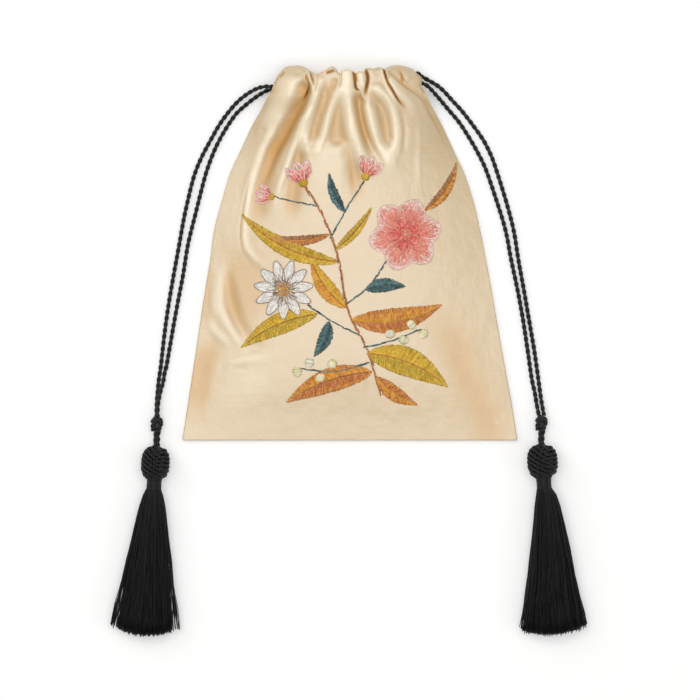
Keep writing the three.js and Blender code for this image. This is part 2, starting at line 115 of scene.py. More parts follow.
class Finish:
    """A material whose variation is written as signals."""

    def __init__(self, name, **constants):
        self.material = bpy.data.materials.new(name)
        self.material.use_nodes = True
        self.tree = self.material.node_tree
        self.shader = self.tree.nodes["Principled BSDF"]
        for socket, value in constants.items():
            self.shader.inputs[socket.replace("_", " ")].default_value = value

    def add(self, kind, settings=None, inputs=None):
        node = self.tree.nodes.new(kind)
        for name, value in (settings or {}).items():
            setattr(node, name, value)
        for name, value in (inputs or {}).items():
            self.feed(node.inputs[name], value)
        return Signal(self, next(socket for socket in node.outputs if socket.enabled))

    def feed(self, socket, value):
        if isinstance(value, Signal):
            self.tree.links.new(value.socket, socket)
        else:
            socket.default_value = value

    def vary(self, **signals):
        for name, signal in signals.items():
            self.feed(self.shader.inputs[name.replace("_", " ")], signal)

    def mix(self, factor, first, second):
        node = self.add("ShaderNodeMix", {"data_type": "RGBA"})
        sockets = [s for s in node.socket.node.inputs if s.enabled]
        for socket, value in zip(sockets, (factor, first, second)):
            self.feed(socket, value)
        return Signal(self, next(s for s in node.socket.node.outputs if s.enabled))

    def noise(self, scale, detail=2.0, stretch=(1.0, 1.0, 1.0)):
        """Noise over the place in metres, in the frame that all pieces share."""
        place = self.add("ShaderNodeTexCoord").out("Object")
        place = self.add("ShaderNodeMapping", None, {"Vector": place, "Scale": stretch})
        return self.add("ShaderNodeTexNoise", None, {"Vector": place, "Scale": scale, "Detail": detail})

    def bump(self, height, strength, distance):
        inputs = {"Height": height, "Strength": strength, "Distance": distance}
        self.vary(Normal=self.add("ShaderNodeBump", None, inputs))


def colour(red, green, blue):
    """A colour as seen on a screen, from 0 to 255, as the linear numbers that shaders take."""
    parts = [value / 255 for value in (red, green, blue)]
    linear = [p / 12.92 if p <= 0.04045 else ((p + 0.055) / 1.055) ** 2.4 for p in parts]
    return (*linear, 1.0)


print("finishes are ready to be written")

# %% [markdown]
# ## The table and the light
#
# The background of a catalogue picture is white, and only a soft shadow tells where things touch it. Under
# lamps alone a table turns grey where their light falls off, so this plain sheet also has a faint glow of its
# own, which keeps it white and its shadows pale. Large soft lamps light the silk without hard edges.

# %% Table
TABLE_HALF = 3
TABLE_DROP = 0.0002
table_finish = Finish("pale_table", Roughness=0.9, Emission_Color=(1, 1, 1, 1), Emission_Strength=0.22)
speckle = table_finish.noise(900.0)
table_finish.vary(Base_Color=table_finish.mix(speckle, colour(226, 226, 226), colour(229, 229, 229)))
bm = bmesh.new()
bmesh.ops.create_grid(bm, x_segments=1, y_segments=1, size=TABLE_HALF)
bmesh.ops.translate(bm, verts=bm.verts, vec=(0, 0, -TABLE_DROP))
table_mesh = bpy.data.meshes.new("table")
bm.to_mesh(table_mesh)
bm.free()
table = bpy.data.objects.new("table", table_mesh)
table.data.materials.append(table_finish.material)
bpy.context.collection.objects.link(table)
print("table", 2 * TABLE_HALF, "m wide")

# %% Light
AIM = (0, -0.06, 0)
world = bpy.data.worlds.new("studio")
bpy.context.scene.world = world
world.use_nodes = True
sky = world.node_tree.nodes["Background"].inputs
sky["Color"].default_value = (1, 0.985, 0.96, 1)
sky["Strength"].default_value = 0.35


def softbox(name, place, width, height, power):
    """A rectangular lamp that points from its place at the pouch."""
    lamp = bpy.data.lights.new(name, "AREA")
    lamp.shape = "RECTANGLE"
    lamp.size = width
    lamp.size_y = height
    lamp.energy = power
    holder = bpy.data.objects.new(name, lamp)
    holder.location = place
    holder.rotation_euler = (Vector(AIM) - Vector(place)).to_track_quat("-Z", "Y").to_euler()
    bpy.context.collection.objects.link(holder)


softbox("overhead", (-0.06, 0.04, 1.5), 1.5, 1.5, 17)
softbox("key_left", (-1.2, 0.7, 1.0), 0.9, 1.2, 5)
softbox("fill_right", (1.3, -0.5, 1.0), 1.0, 1.0, 3)
bpy.context.scene.view_settings.view_transform = "Standard"
print("lamps", [o.name for o in bpy.data.objects if o.type == "LIGHT"])

# %% [markdown]
# ## Threads and cords
#
# Cord, thread and stitches are all the same thing at different sizes: a round strand along a line. Blender's
# curves make strands quickly, so one helper lays a curve along each line and turns the lot into a mesh. A
# smooth route through a few given points comes from a Catmull-Rom curve.


# %% Smooth routes
def hermite(t, start, lead, stop, trail):
    """The curve from start to stop that sets out along lead and arrives along trail, at the shares t."""
    return (
        (2 * t**3 - 3 * t**2 + 1) * start
        + (t**3 - 2 * t**2 + t) * lead
        + (3 * t**2 - 2 * t**3) * stop
        + (t**3 - t**2) * trail
    )


def distance_along(route):
    """How far along a route each of its points lies."""
    steps = np.linalg.norm(np.diff(route, axis=0), axis=1)
    return np.concatenate([[0], np.cumsum(steps)])


def smooth_route(points, step):
    """Points a step apart along a smooth curve through the given points."""
    points = np.asarray(points, dtype=float)
    ends = [2 * points[0] - points[1], *points, 2 * points[-1] - points[-2]]
    t = np.linspace(0, 1, 24, endpoint=False)[:, None]
    pieces = [
        hermite(t, start, (stop - before) / 2, stop, (after - start) / 2)
        for before, start, stop, after in zip(ends, ends[1:], ends[2:], ends[3:])
    ]
    dense = np.vstack([*pieces, ends[-2][None]])
    travelled = distance_along(dense)
    places = np.linspace(0, travelled[-1], max(3, int(round(travelled[-1] / step)) + 1))
    return np.stack([np.interp(places, travelled, dense[:, axis]) for axis in range(3)], axis=1)


print("routes are ready to be drawn")


# %% Strands along lines
def close_ends(mesh, corners):
    """Fill the open ends of tubes, each with a face of its tube's finish."""
    bm = bmesh.new()
    bm.from_mesh(mesh)
    rims = [edge for edge in bm.edges if edge.is_boundary]
    for face in bmesh.ops.holes_fill(bm, edges=rims, sides=corners)["faces"]:
        beside = next(other for other in face.edges[0].link_faces if other != face)
        face.material_index = beside.material_index
    bmesh.ops.recalc_face_normals(bm, faces=bm.faces)
    bm.to_mesh(mesh)
    bm.free()


def strand_object(name, node, lines, radius, corners, finishes, loops=False):
    """A mesh of round strands along lines of points. A line may come with the number of its finish.

    The piece stands for the solid of that node, if there is one, and that solid is hidden.
    """
    shape = bpy.data.curves.new(name, "CURVE")
    shape.dimensions = "3D"
    shape.bevel_depth = radius
    shape.bevel_resolution = (corners - 4) // 2
    for finish in finishes:
        shape.materials.append(finish.material)
    for line in lines:
        points, number = line if isinstance(line, tuple) else (line, 0)
        spline = shape.splines.new("POLY")
        spline.points.add(len(points) - 1)
        spline.points.foreach_set("co", np.c_[points, np.ones(len(points))].ravel())
        spline.use_cyclic_u = loops
        spline.use_smooth = True
        spline.material_index = number
    maker = bpy.data.objects.new(name + "_lines", shape)
    bpy.context.collection.objects.link(maker)
    mesh = bpy.data.meshes.new_from_object(maker.evaluated_get(bpy.context.evaluated_depsgraph_get()))
    bpy.data.objects.remove(maker)
    bpy.data.curves.remove(shape)
    mesh.name = name
    if not loops:
        close_ends(mesh, corners)
    piece = bpy.data.objects.new(name, mesh)
    bpy.context.collection.objects.link(piece)
    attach(piece, "root")
    if node:
        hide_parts(node)
    print(name, len(lines), "strands,", len(mesh.polygons), "faces")
    return piece


def frames_along(route, closed=False):
    """Two directions across a route at each of its points, turning as little as they can."""
    if closed:
        ahead = np.roll(route, -1, axis=0) - np.roll(route, 1, axis=0)
    else:
        ahead = np.gradient(route, axis=0)
    ahead /= np.linalg.norm(ahead, axis=1)[:, None]
    side = np.cross(ahead[0], (0, 0, 1))
    if np.linalg.norm(side) < 1e-6:
        side = np.array((1.0, 0, 0))
    sides = []
    for direction in ahead:
        side = side - direction * side.dot(direction)
        side = side / np.linalg.norm(side)
        sides.append(side)
    sides = np.array(sides)
    return sides, np.cross(ahead, sides)


def plies(route, apart, pitch, start=0.0, closed=False):
    """The lines of the two plies that twist into a cord along a route, each so far from its middle."""
    side, over = frames_along(route, closed)
    travelled = distance_along(route)
    if closed:
        whole = travelled[-1] + np.linalg.norm(route[0] - route[-1])
        pitch = whole / max(1, round(whole / pitch))
    lines = []
    for ply in (0, 1):
        turn = start + 2 * math.pi * (travelled / pitch + ply / 2)
        lines.append(route + apart * (np.cos(turn)[:, None] * side + np.sin(turn)[:, None] * over))
    return lines


print("strands are ready to be laid")

# %% [markdown]
# ## The drawcords
#
# Each drawcord is a black cord of two plies. Its free strands leave the side slits, come down to the table
# and lie on it as far as their knot. The routes are the solids' own, and each ply is a strand that winds
# round the route.

# %% Black cord and black thread
cord_finish = Finish("black_cord", Specular_IOR_Level=0.4)
fibre = cord_finish.noise(1800.0, 3.0)
cord_finish.vary(Base_Color=cord_finish.mix(fibre, colour(3, 3, 3), colour(21, 20, 20)))
cord_finish.vary(Roughness=0.4 + 0.2 * fibre)
cord_finish.bump(fibre, 0.35, 0.0002)

thread_finish = Finish("black_thread", Specular_IOR_Level=0.22)
strand_tone = thread_finish.noise(1.0, 2.0, (1500.0, 90.0, 1500.0))
thread_finish.vary(Base_Color=thread_finish.mix(strand_tone, colour(3, 3, 3), colour(20, 19, 20)))
thread_finish.vary(Roughness=0.36 + 0.25 * strand_tone)
thread_finish.bump(thread_finish.noise(650.0), 0.6, 0.0006)
print("black finishes", cord_finish.material.name, thread_finish.material.name)

# %% Free strands
CORD = 3.0
PITCH = 8.2
# The plies are soft and press into each other. Both are shares of the cord's thickness.
PLY_APART = 0.21
PLY_RADIUS = 0.29
ROUTE_STEP = 0.6
# A point that is given without a height lies on the table.
ON_TABLE = 1.6
ROUTES = {
    "drawcord_left_outer": [
        (-51.6, 109.6, 10.9), (-55.8, 109.8, 10), (-60.4, 109, 8.4), (-65, 107, 6.4), (-69.6, 104.2, 4.4),
        (-75, 99.8, 2.6), (-80.6, 93.4, 1.7), (-86.8, 84.8), (-92.4, 74.9), (-97.7, 65), (-102, 55.1),
        (-105, 45.2), (-109.6, 25.4), (-113.2, 5.6), (-116.8, -14.2), (-120.2, -34), (-123, -54),
        (-125.2, -73.6), (-126.7, -84), (-127.5, -92, 1.7), (-128, -100, 2.3), (-128.1, -107.4, 3.5),
    ],
    "drawcord_left_inner": [
        (-51.6, 108.4, 3.5), (-55.4, 107.4, 3.6), (-59.8, 105, 3.2), (-64.8, 101.6, 2.4), (-70, 97.4, 1.8),
        (-75.2, 92.6), (-81, 84.6), (-86.6, 74.9), (-91.2, 65), (-94.8, 55.1), (-97.6, 45.2),
        (-102.6, 25.4), (-107.4, 5.6), (-110.6, -14.2), (-114.4, -34), (-118, -54), (-121.4, -73.6),
        (-122.6, -78), (-123.5, -84, 2.3), (-124.6, -88.5, 3.8), (-125.8, -93, 4.7), (-126.9, -100, 5.5),
        (-127.1, -107.4, 6.6),
    ],
    "drawcord_right_outer": [
        (46.6, 117, 3.5), (50, 115.2, 3.2), (54, 113, 2.6), (58.2, 110.4, 2), (62.2, 106.8), (67.2, 101.2),
        (73.3, 94.6), (80.6, 85.2), (87.8, 74.9), (92.8, 65), (96.4, 55.1), (102.6, 35.3), (107.8, 15.5),
        (111, -4.3), (114.6, -24.1), (118, -43.9), (121.4, -63.7), (124.2, -83.5), (125.2, -91, 1.8),
        (126.2, -98, 2.8), (127.7, -106.8, 4.6),
    ],
    "drawcord_right_inner": [
        (46.6, 112, 10.9), (50.2, 110.4, 10.2), (53.2, 107.8, 9), (56.2, 104.6, 7.2), (59.8, 100.6, 5),
        (65, 94.6, 2.8), (72, 86.4, 1.7), (79.4, 74.9), (85, 65), (89.6, 55.1), (96.4, 35.3), (102.4, 15.5),
        (106.2, -4.3), (110.4, -24.1), (114, -43.9), (117, -63.7), (119.9, -83.5), (121.6, -91, 1.8),
        (122.7, -98, 2.8), (124.3, -106.8, 4.6),
    ],
}


def twisted_cord(node, route):
    """The two plies of a stretch of drawcord along a route in metres."""
    name = node.replace("drawcord", "twisted_cord")
    lines = plies(route, PLY_APART * CORD * MM, PITCH * MM)
    return strand_object(name, node, lines, PLY_RADIUS * CORD * MM, 8, [cord_finish])


free_strands = {}
for node, points in ROUTES.items():
    places = np.array([(*point, ON_TABLE)[:3] for point in points])
    route = smooth_route(places * MM, ROUTE_STEP * MM)
    free_strands[node] = (twisted_cord(node, route), route)

# %% [markdown]
# ## Knots and tassels
#
# Each pair of strands is tied in an overhand knot. Its two tails go into a ball of cord that is wound round
# the head of a tassel, and under the ball fine thread binds the neck. The skirt is a bundle of many loose
# threads. A hair system could grow them, but then they would be no mesh, so each thread is a strand here too.

# %% Places of the knots and tassels
BALL_LENGTH = 20.2
NECK_LENGTH = 7.2
TILT = math.radians(3.8)
# The two tassels differ a little: how wide the ball is and how high it sits, how full the skirt is and how
# far it bows to the right, and how many of its threads stray, how far, and how late they part from the rest.
TASSELS = {
    "left": {
        "ball_top": (-127.7, -127.6, 9.4), "knot": (-127.6, -113.2, 5.0), "turn": -TILT,
        "width": 1.02, "lift": -0.7, "fullness": 0.92, "bow": -0.2,
        "strays": 34, "stray_reach": 2.2, "parting": 1.6,
    },
    "right": {
        "ball_top": (125.8, -127.2, 9.4), "knot": (126.1, -112.6, 5.0), "turn": TILT,
        "width": 1.1, "lift": 0.1, "fullness": 1.05, "bow": 1.5,
        "strays": 14, "stray_reach": 1.8, "parting": 4.0,
    },
}


def on_tassel(points, tassel):
    """Places on the table, in metres, of points in millimetres from the top of a tassel's ball."""
    top_x, top_y, _ = tassel["ball_top"]
    c, s = math.cos(tassel["turn"]), math.sin(tassel["turn"])
    x, y, z = np.asarray(points, dtype=float).T
    return np.stack([top_x + c * x - s * y, top_y + s * x + c * y, z], axis=1) * MM


def add_core(piece, radii, place):
    """A rounded core inside a knot or ball, so that nothing shows between its cords."""
    bm = bmesh.new()
    bm.from_mesh(piece.data)
    core = bmesh.ops.create_icosphere(bm, subdivisions=3, radius=MM)
    bmesh.ops.scale(bm, verts=core["verts"], vec=radii)
    bmesh.ops.translate(bm, verts=core["verts"], vec=place)
    bm.to_mesh(piece.data)
    bm.free()


print("tassels at", [tassel["ball_top"] for tassel in TASSELS.values()])

# %% Overhand knots
# The path of the doubled cord through the knot, from the middle of the knot: across, along and up.
KNOT_PATH = [
    (0, 5.3, 0), (-0.6, 3.2, 1.0), (-1.5, 0.2, 1.7), (-2.2, -2.5, 0.6), (-0.8, -3.3, -1.4),
    (1.7, -0.8, -1.8), (2.7, 1.5, -0.3), (1.5, 3.3, 1.4), (-1.0, 3.7, 1.8), (-2.8, 2.9, 0.2),
    (-1.8, 0.8, -1.6), (0.7, -1.6, -0.8), (0.6, -3.8, 0.4), (0, -5.3, 0.6),
]
KNOT_STEP = 0.5
KNOT_CORE = (2.6, 3.9, 2.6)
TAIL = 2.9
TAIL_SPLIT = 1.0
TAIL_IN_BALL = 2
for side, tassel in TASSELS.items():
    x, y, z = tassel["knot"]
    top_x, top_y, top_z = tassel["ball_top"]
    through = [(x + dx, y + dy, z + dz) for dx, dy, dz in KNOT_PATH]
    halfway = (top_x, (through[-1][1] + top_y) / 2, (z + top_z) / 2)
    centre = smooth_route([*through, halfway, (top_x, top_y - TAIL_IN_BALL, top_z)], KNOT_STEP)
    across, _ = frames_along(centre)
    lines = []
    for hand in (-1, 1):
        beside = centre + hand * TAIL_SPLIT * across
        lines += plies(beside * MM, PLY_APART * TAIL * MM, PITCH * MM, start=hand)
    name, node = f"overhand_knot_{side}", f"cord_knot_{side}"
    knot = strand_object(name, node, lines, PLY_RADIUS * TAIL * MM, 8, [cord_finish])
    add_core(knot, KNOT_CORE, (x * MM, y * MM, z * MM))

# %% Ball knots
# Two windings cross on the ball. The slanted one lies on top over its left and middle, and the level one over
# its right. Where one goes under the other, it is pressed in.
WINDINGS = [
    {"axis": (0.46, 0.86, 0.2), "count": 9, "on_top": -1},
    {"axis": (-0.1, 0.98, -0.15), "count": 9, "on_top": 1},
]
CROSSING = 0.3
CROSSING_SHARPNESS = 10
PRESSED = 0.9
BAND = 1.2
BAND_PITCH = 4.4
WIND_RADIUS = 8.2
BALL_STRETCH = 1.28
# At 2 the ball would be round, and above that it gets squarer.
BALL_SQUARE = 2.7
BALL_CORE = 7.0
turn = np.linspace(0, 2 * math.pi, 80, endpoint=False)[:, None]
for side, tassel in TASSELS.items():
    middle = np.array((0, tassel["lift"] - BALL_LENGTH / 2, tassel["ball_top"][2]))
    stretch = np.array((tassel["width"], BALL_STRETCH, 1.0))
    rings = []
    for winding in WINDINGS:
        axis = np.array(winding["axis"]) / np.linalg.norm(winding["axis"])
        across = np.cross(axis, (0, 0, 1))
        across /= np.linalg.norm(across)
        up = np.cross(axis, across)
        for offset in np.linspace(-0.92, 0.92, winding["count"]):
            unit = math.sqrt(1 - offset**2) * (np.cos(turn) * across + np.sin(turn) * up) + offset * axis
            above = winding["on_top"] * (unit[:, 0] - CROSSING)
            raised = 1 / (1 + np.exp(-CROSSING_SHARPNESS * above))
            fuller = (np.abs(unit) ** BALL_SQUARE).sum(axis=1) ** (-1 / BALL_SQUARE)
            far = fuller * (WIND_RADIUS - PRESSED + PRESSED * raised)
            ring = on_tassel(unit * far[:, None] * stretch + middle, tassel)
            rings += plies(ring, BAND / 2 * MM, BAND_PITCH * MM, closed=True)
    name, node = f"wound_ball_{side}", f"tassel_{side}_ball"
    ball = strand_object(name, node, rings, BAND / 1.8 * MM, 6, [cord_finish], loops=True)
    add_core(ball, (BALL_CORE, BALL_CORE * BALL_STRETCH, BALL_CORE), on_tassel([middle], tassel)[0])

# %% Bound necks
# The binding starts inside the ball and ends inside the skirt.
BINDING = 0.5
BINDING_TURNS = 11
BINDING_START = BALL_LENGTH - 1.6
BINDING_RUN = NECK_LENGTH + 2.2
NECK_RADIUS = 5.1
NECK_TAPER = 0.7
NECK_WAIST = 0.25
turns = np.linspace(0, BINDING_TURNS, BINDING_TURNS * 28)
share = turns / BINDING_TURNS
radius = NECK_RADIUS - NECK_TAPER * share - NECK_WAIST * np.sin(math.pi * share)
down = BINDING_START + BINDING_RUN * share
for side, tassel in TASSELS.items():
    height = tassel["ball_top"][2] + radius * np.sin(2 * math.pi * turns)
    coil = on_tassel(np.stack([radius * np.cos(2 * math.pi * turns), -down, height], axis=1), tassel)
    name, node = f"neck_binding_{side}", f"tassel_{side}_neck"
    strand_object(name, node, [coil], BINDING * MM, 6, [cord_finish])

# %% Thread skirts
# Each row is a distance below the neck, the skirt's half width and half depth there, and its middle's height.
SKIRT = np.array([
    (0, 4.5, 4.4, 9.4),
    (6, 6.8, 6.2, 9.1),
    (13, 8.3, 7.2, 8.8),
    (22, 9.6, 8.2, 8.4),
    (48, 13.3, 8.2, 8.4),
    (76, 17.6, 7.8, 8),
    (96, 20.3, 7.2, 7.4),
])
THREADS = 1250
THREAD = 0.26
LOCKS = 22
SKIRT_LENGTH = 95.5
HEM_CURVE = 3.8
# Down to these distances below the neck the skirt gets fuller and its threads get looser.
FULL_AT = 40
LOOSE_AT = 70
LOOSEST = 1.3
LOWEST = 0.35
ANY_PHASE = 6.28
for number, (side, tassel) in enumerate(TASSELS.items()):
    chance = random.Random(11 + number)
    locks = [(chance.uniform(0, ANY_PHASE), chance.uniform(0.1, 0.5)) for _ in range(LOCKS)]
    threads = []
    for index in range(THREADS + tassel["strays"]):
        stray = index >= THREADS
        if stray:
            turn = chance.choice((0, math.pi)) + chance.gauss(0, 0.35)
            spread = 1.03
        else:
            turn = chance.uniform(0, 2 * math.pi)
            spread = 0.1 + 0.9 * math.sqrt(chance.random())
        reach = SKIRT_LENGTH - HEM_CURVE * (spread * math.cos(turn)) ** 2 + chance.gauss(0, 0.9)
        down = np.array([-3, 0, *np.linspace(5, reach, 13)])
        half, rise, middle = (np.interp(down, SKIRT[:, 0], SKIRT[:, column]) for column in (1, 2, 3))
        if not stray:
            half = half * (1 + (tassel["fullness"] - 1) * np.clip(down / FULL_AT, 0, 1))
        loose = np.clip(down / LOOSE_AT, 0, LOOSEST)
        phase = chance.uniform(0, ANY_PHASE)
        wave = chance.uniform(0.1, 0.34)
        x = half * spread * math.cos(turn) + loose * wave * np.sin(down / 4.6 + phase)
        x += loose * chance.gauss(0, 0.5)
        lock_phase, lock_sway = locks[int(turn / (2 * math.pi) * LOCKS) % LOCKS]
        x += loose * lock_sway * np.sin(down / 8 + lock_phase)
        x += tassel["bow"] * np.sin(math.pi * np.sqrt(np.clip(down / SKIRT[-1, 0], 0, 1)))
        if stray:
            away = math.copysign(chance.uniform(0.4, tassel["stray_reach"]), math.cos(turn))
            x += away * (loose / LOOSEST) ** tassel["parting"]
        z = middle + rise * spread * math.sin(turn) + 0.5 * loose * wave * np.cos(down / 4.2 + phase)
        points = np.stack([x, -(BALL_LENGTH + NECK_LENGTH + down), np.maximum(z, LOWEST)], axis=1)
        threads.append(on_tassel(points, tassel))
    name, node = f"tassel_threads_{side}", f"tassel_{side}_skirt"
    strand_object(name, node, threads, THREAD * MM, 4, [thread_finish])

# %% [markdown]
# ## What each cord is
#
# A cord is more than its mesh: whoever uses the pouch may want to lay its strands anew. So the real length of
# each free strand is measured along its route and printed. The outer strand of each pair is the one that
# carries the knot and the head of the tassel.

# %% Facts of the cords
for node, (strand, route) in free_strands.items():
    _, side, place = node.split("_")
    length = float(distance_along(route)[-1])
    print(strand.name, round(length, 4), "m long")

# %% [markdown]
# ## The cloth
#
# The front panel is a sheet of silk that is flat at the bottom and drawn into gathers at the mouth. A cloth
# simulation would give gathers of its own choosing, so the folds that the real pouch shows are listed here
# one by one: each is a line on the cloth with a width and a height, and the sheet rises or sinks along it.

# %% Tables that describe the pouch
HEIGHT = 247.0
CASING = 21.0
STITCH = HEIGHT - CASING
CLOTH = 1.0
# The left and right edge of the pouch, at heights over its middle.
EDGES = np.array([
    (-123.8, -111.2, 110.3), (-103.3, -108.0, 107.2), (-63.7, -102.0, 100.1), (-24.1, -96.0, 93.2),
    (-4.3, -92.7, 89.6), (15.5, -90.1, 85.7), (35.3, -84.8, 81.0), (55.1, -78.7, 74.3), (65.0, -74.1, 69.6),
    (74.9, -69.4, 65.0), (84.8, -64.6, 60.2), (94.7, -58.8, 54.8), (101.3, -55.2, 51.4),
    (104.6, -52.8, 49.4), (107.9, -51.4, 47.6), (111.2, -50.2, 46.6), (114.5, -48.9, 47.2),
    (117.8, -46.8, 43.8), (121.1, -44.3, 40.9), (123.8, -42.2, 38.4),
])
# How high the front stands in its middle and at its sides, and how square it is between them, at heights over
# the hem.
CROWN = np.array([
    (0, 3.8, 3.8, 4), (12, 5.6, 3.8, 4), (45, 12, 3.8, 2.6), (120, 17.5, 3.8, 2.2), (180, 22, 3.8, 2.2),
    (210, 26.5, 4.2, 2.6), (218, 27.8, 7, 2.8), (226, 29, 14.0, 3), (247, 29, 14.4, 3),
])
# How high the mouth reaches over the hem, at places across it.
TOP_EDGE = np.array([
    (-42.6, 246.6), (-36.0, 246.6), (-30.7, 244.6), (-27.4, 242.9), (-22.1, 240.8), (-16.8, 242.8),
    (-12.9, 245.6), (-10.2, 244.3), (-7.6, 241.0), (-5.0, 243.1), (0.3, 242.9), (2.3, 241.4), (5.0, 242.3),
    (8.2, 242.4), (10.2, 244.2), (14.9, 244.0), (19.5, 245.0), (22.1, 243.4), (26.1, 245.3), (34.6, 247.0),
    (38.6, 245.9),
])


def read_table(at, table, column):
    """A column of a table at the given places, eased between its rows."""
    keys = table[:, 0]
    values = table[:, column]
    slopes = np.gradient(values, keys)
    i = np.clip(np.searchsorted(keys, at) - 1, 0, len(keys) - 2)
    span = keys[i + 1] - keys[i]
    t = np.clip((at - keys[i]) / span, 0, 1)
    return hermite(t, values[i], span * slopes[i], values[i + 1], span * slopes[i + 1])


print("outline rows", len(EDGES))

# %% Folds of the front panel
Fold = namedtuple("Fold", "height left right fade_in fade_out tint line")
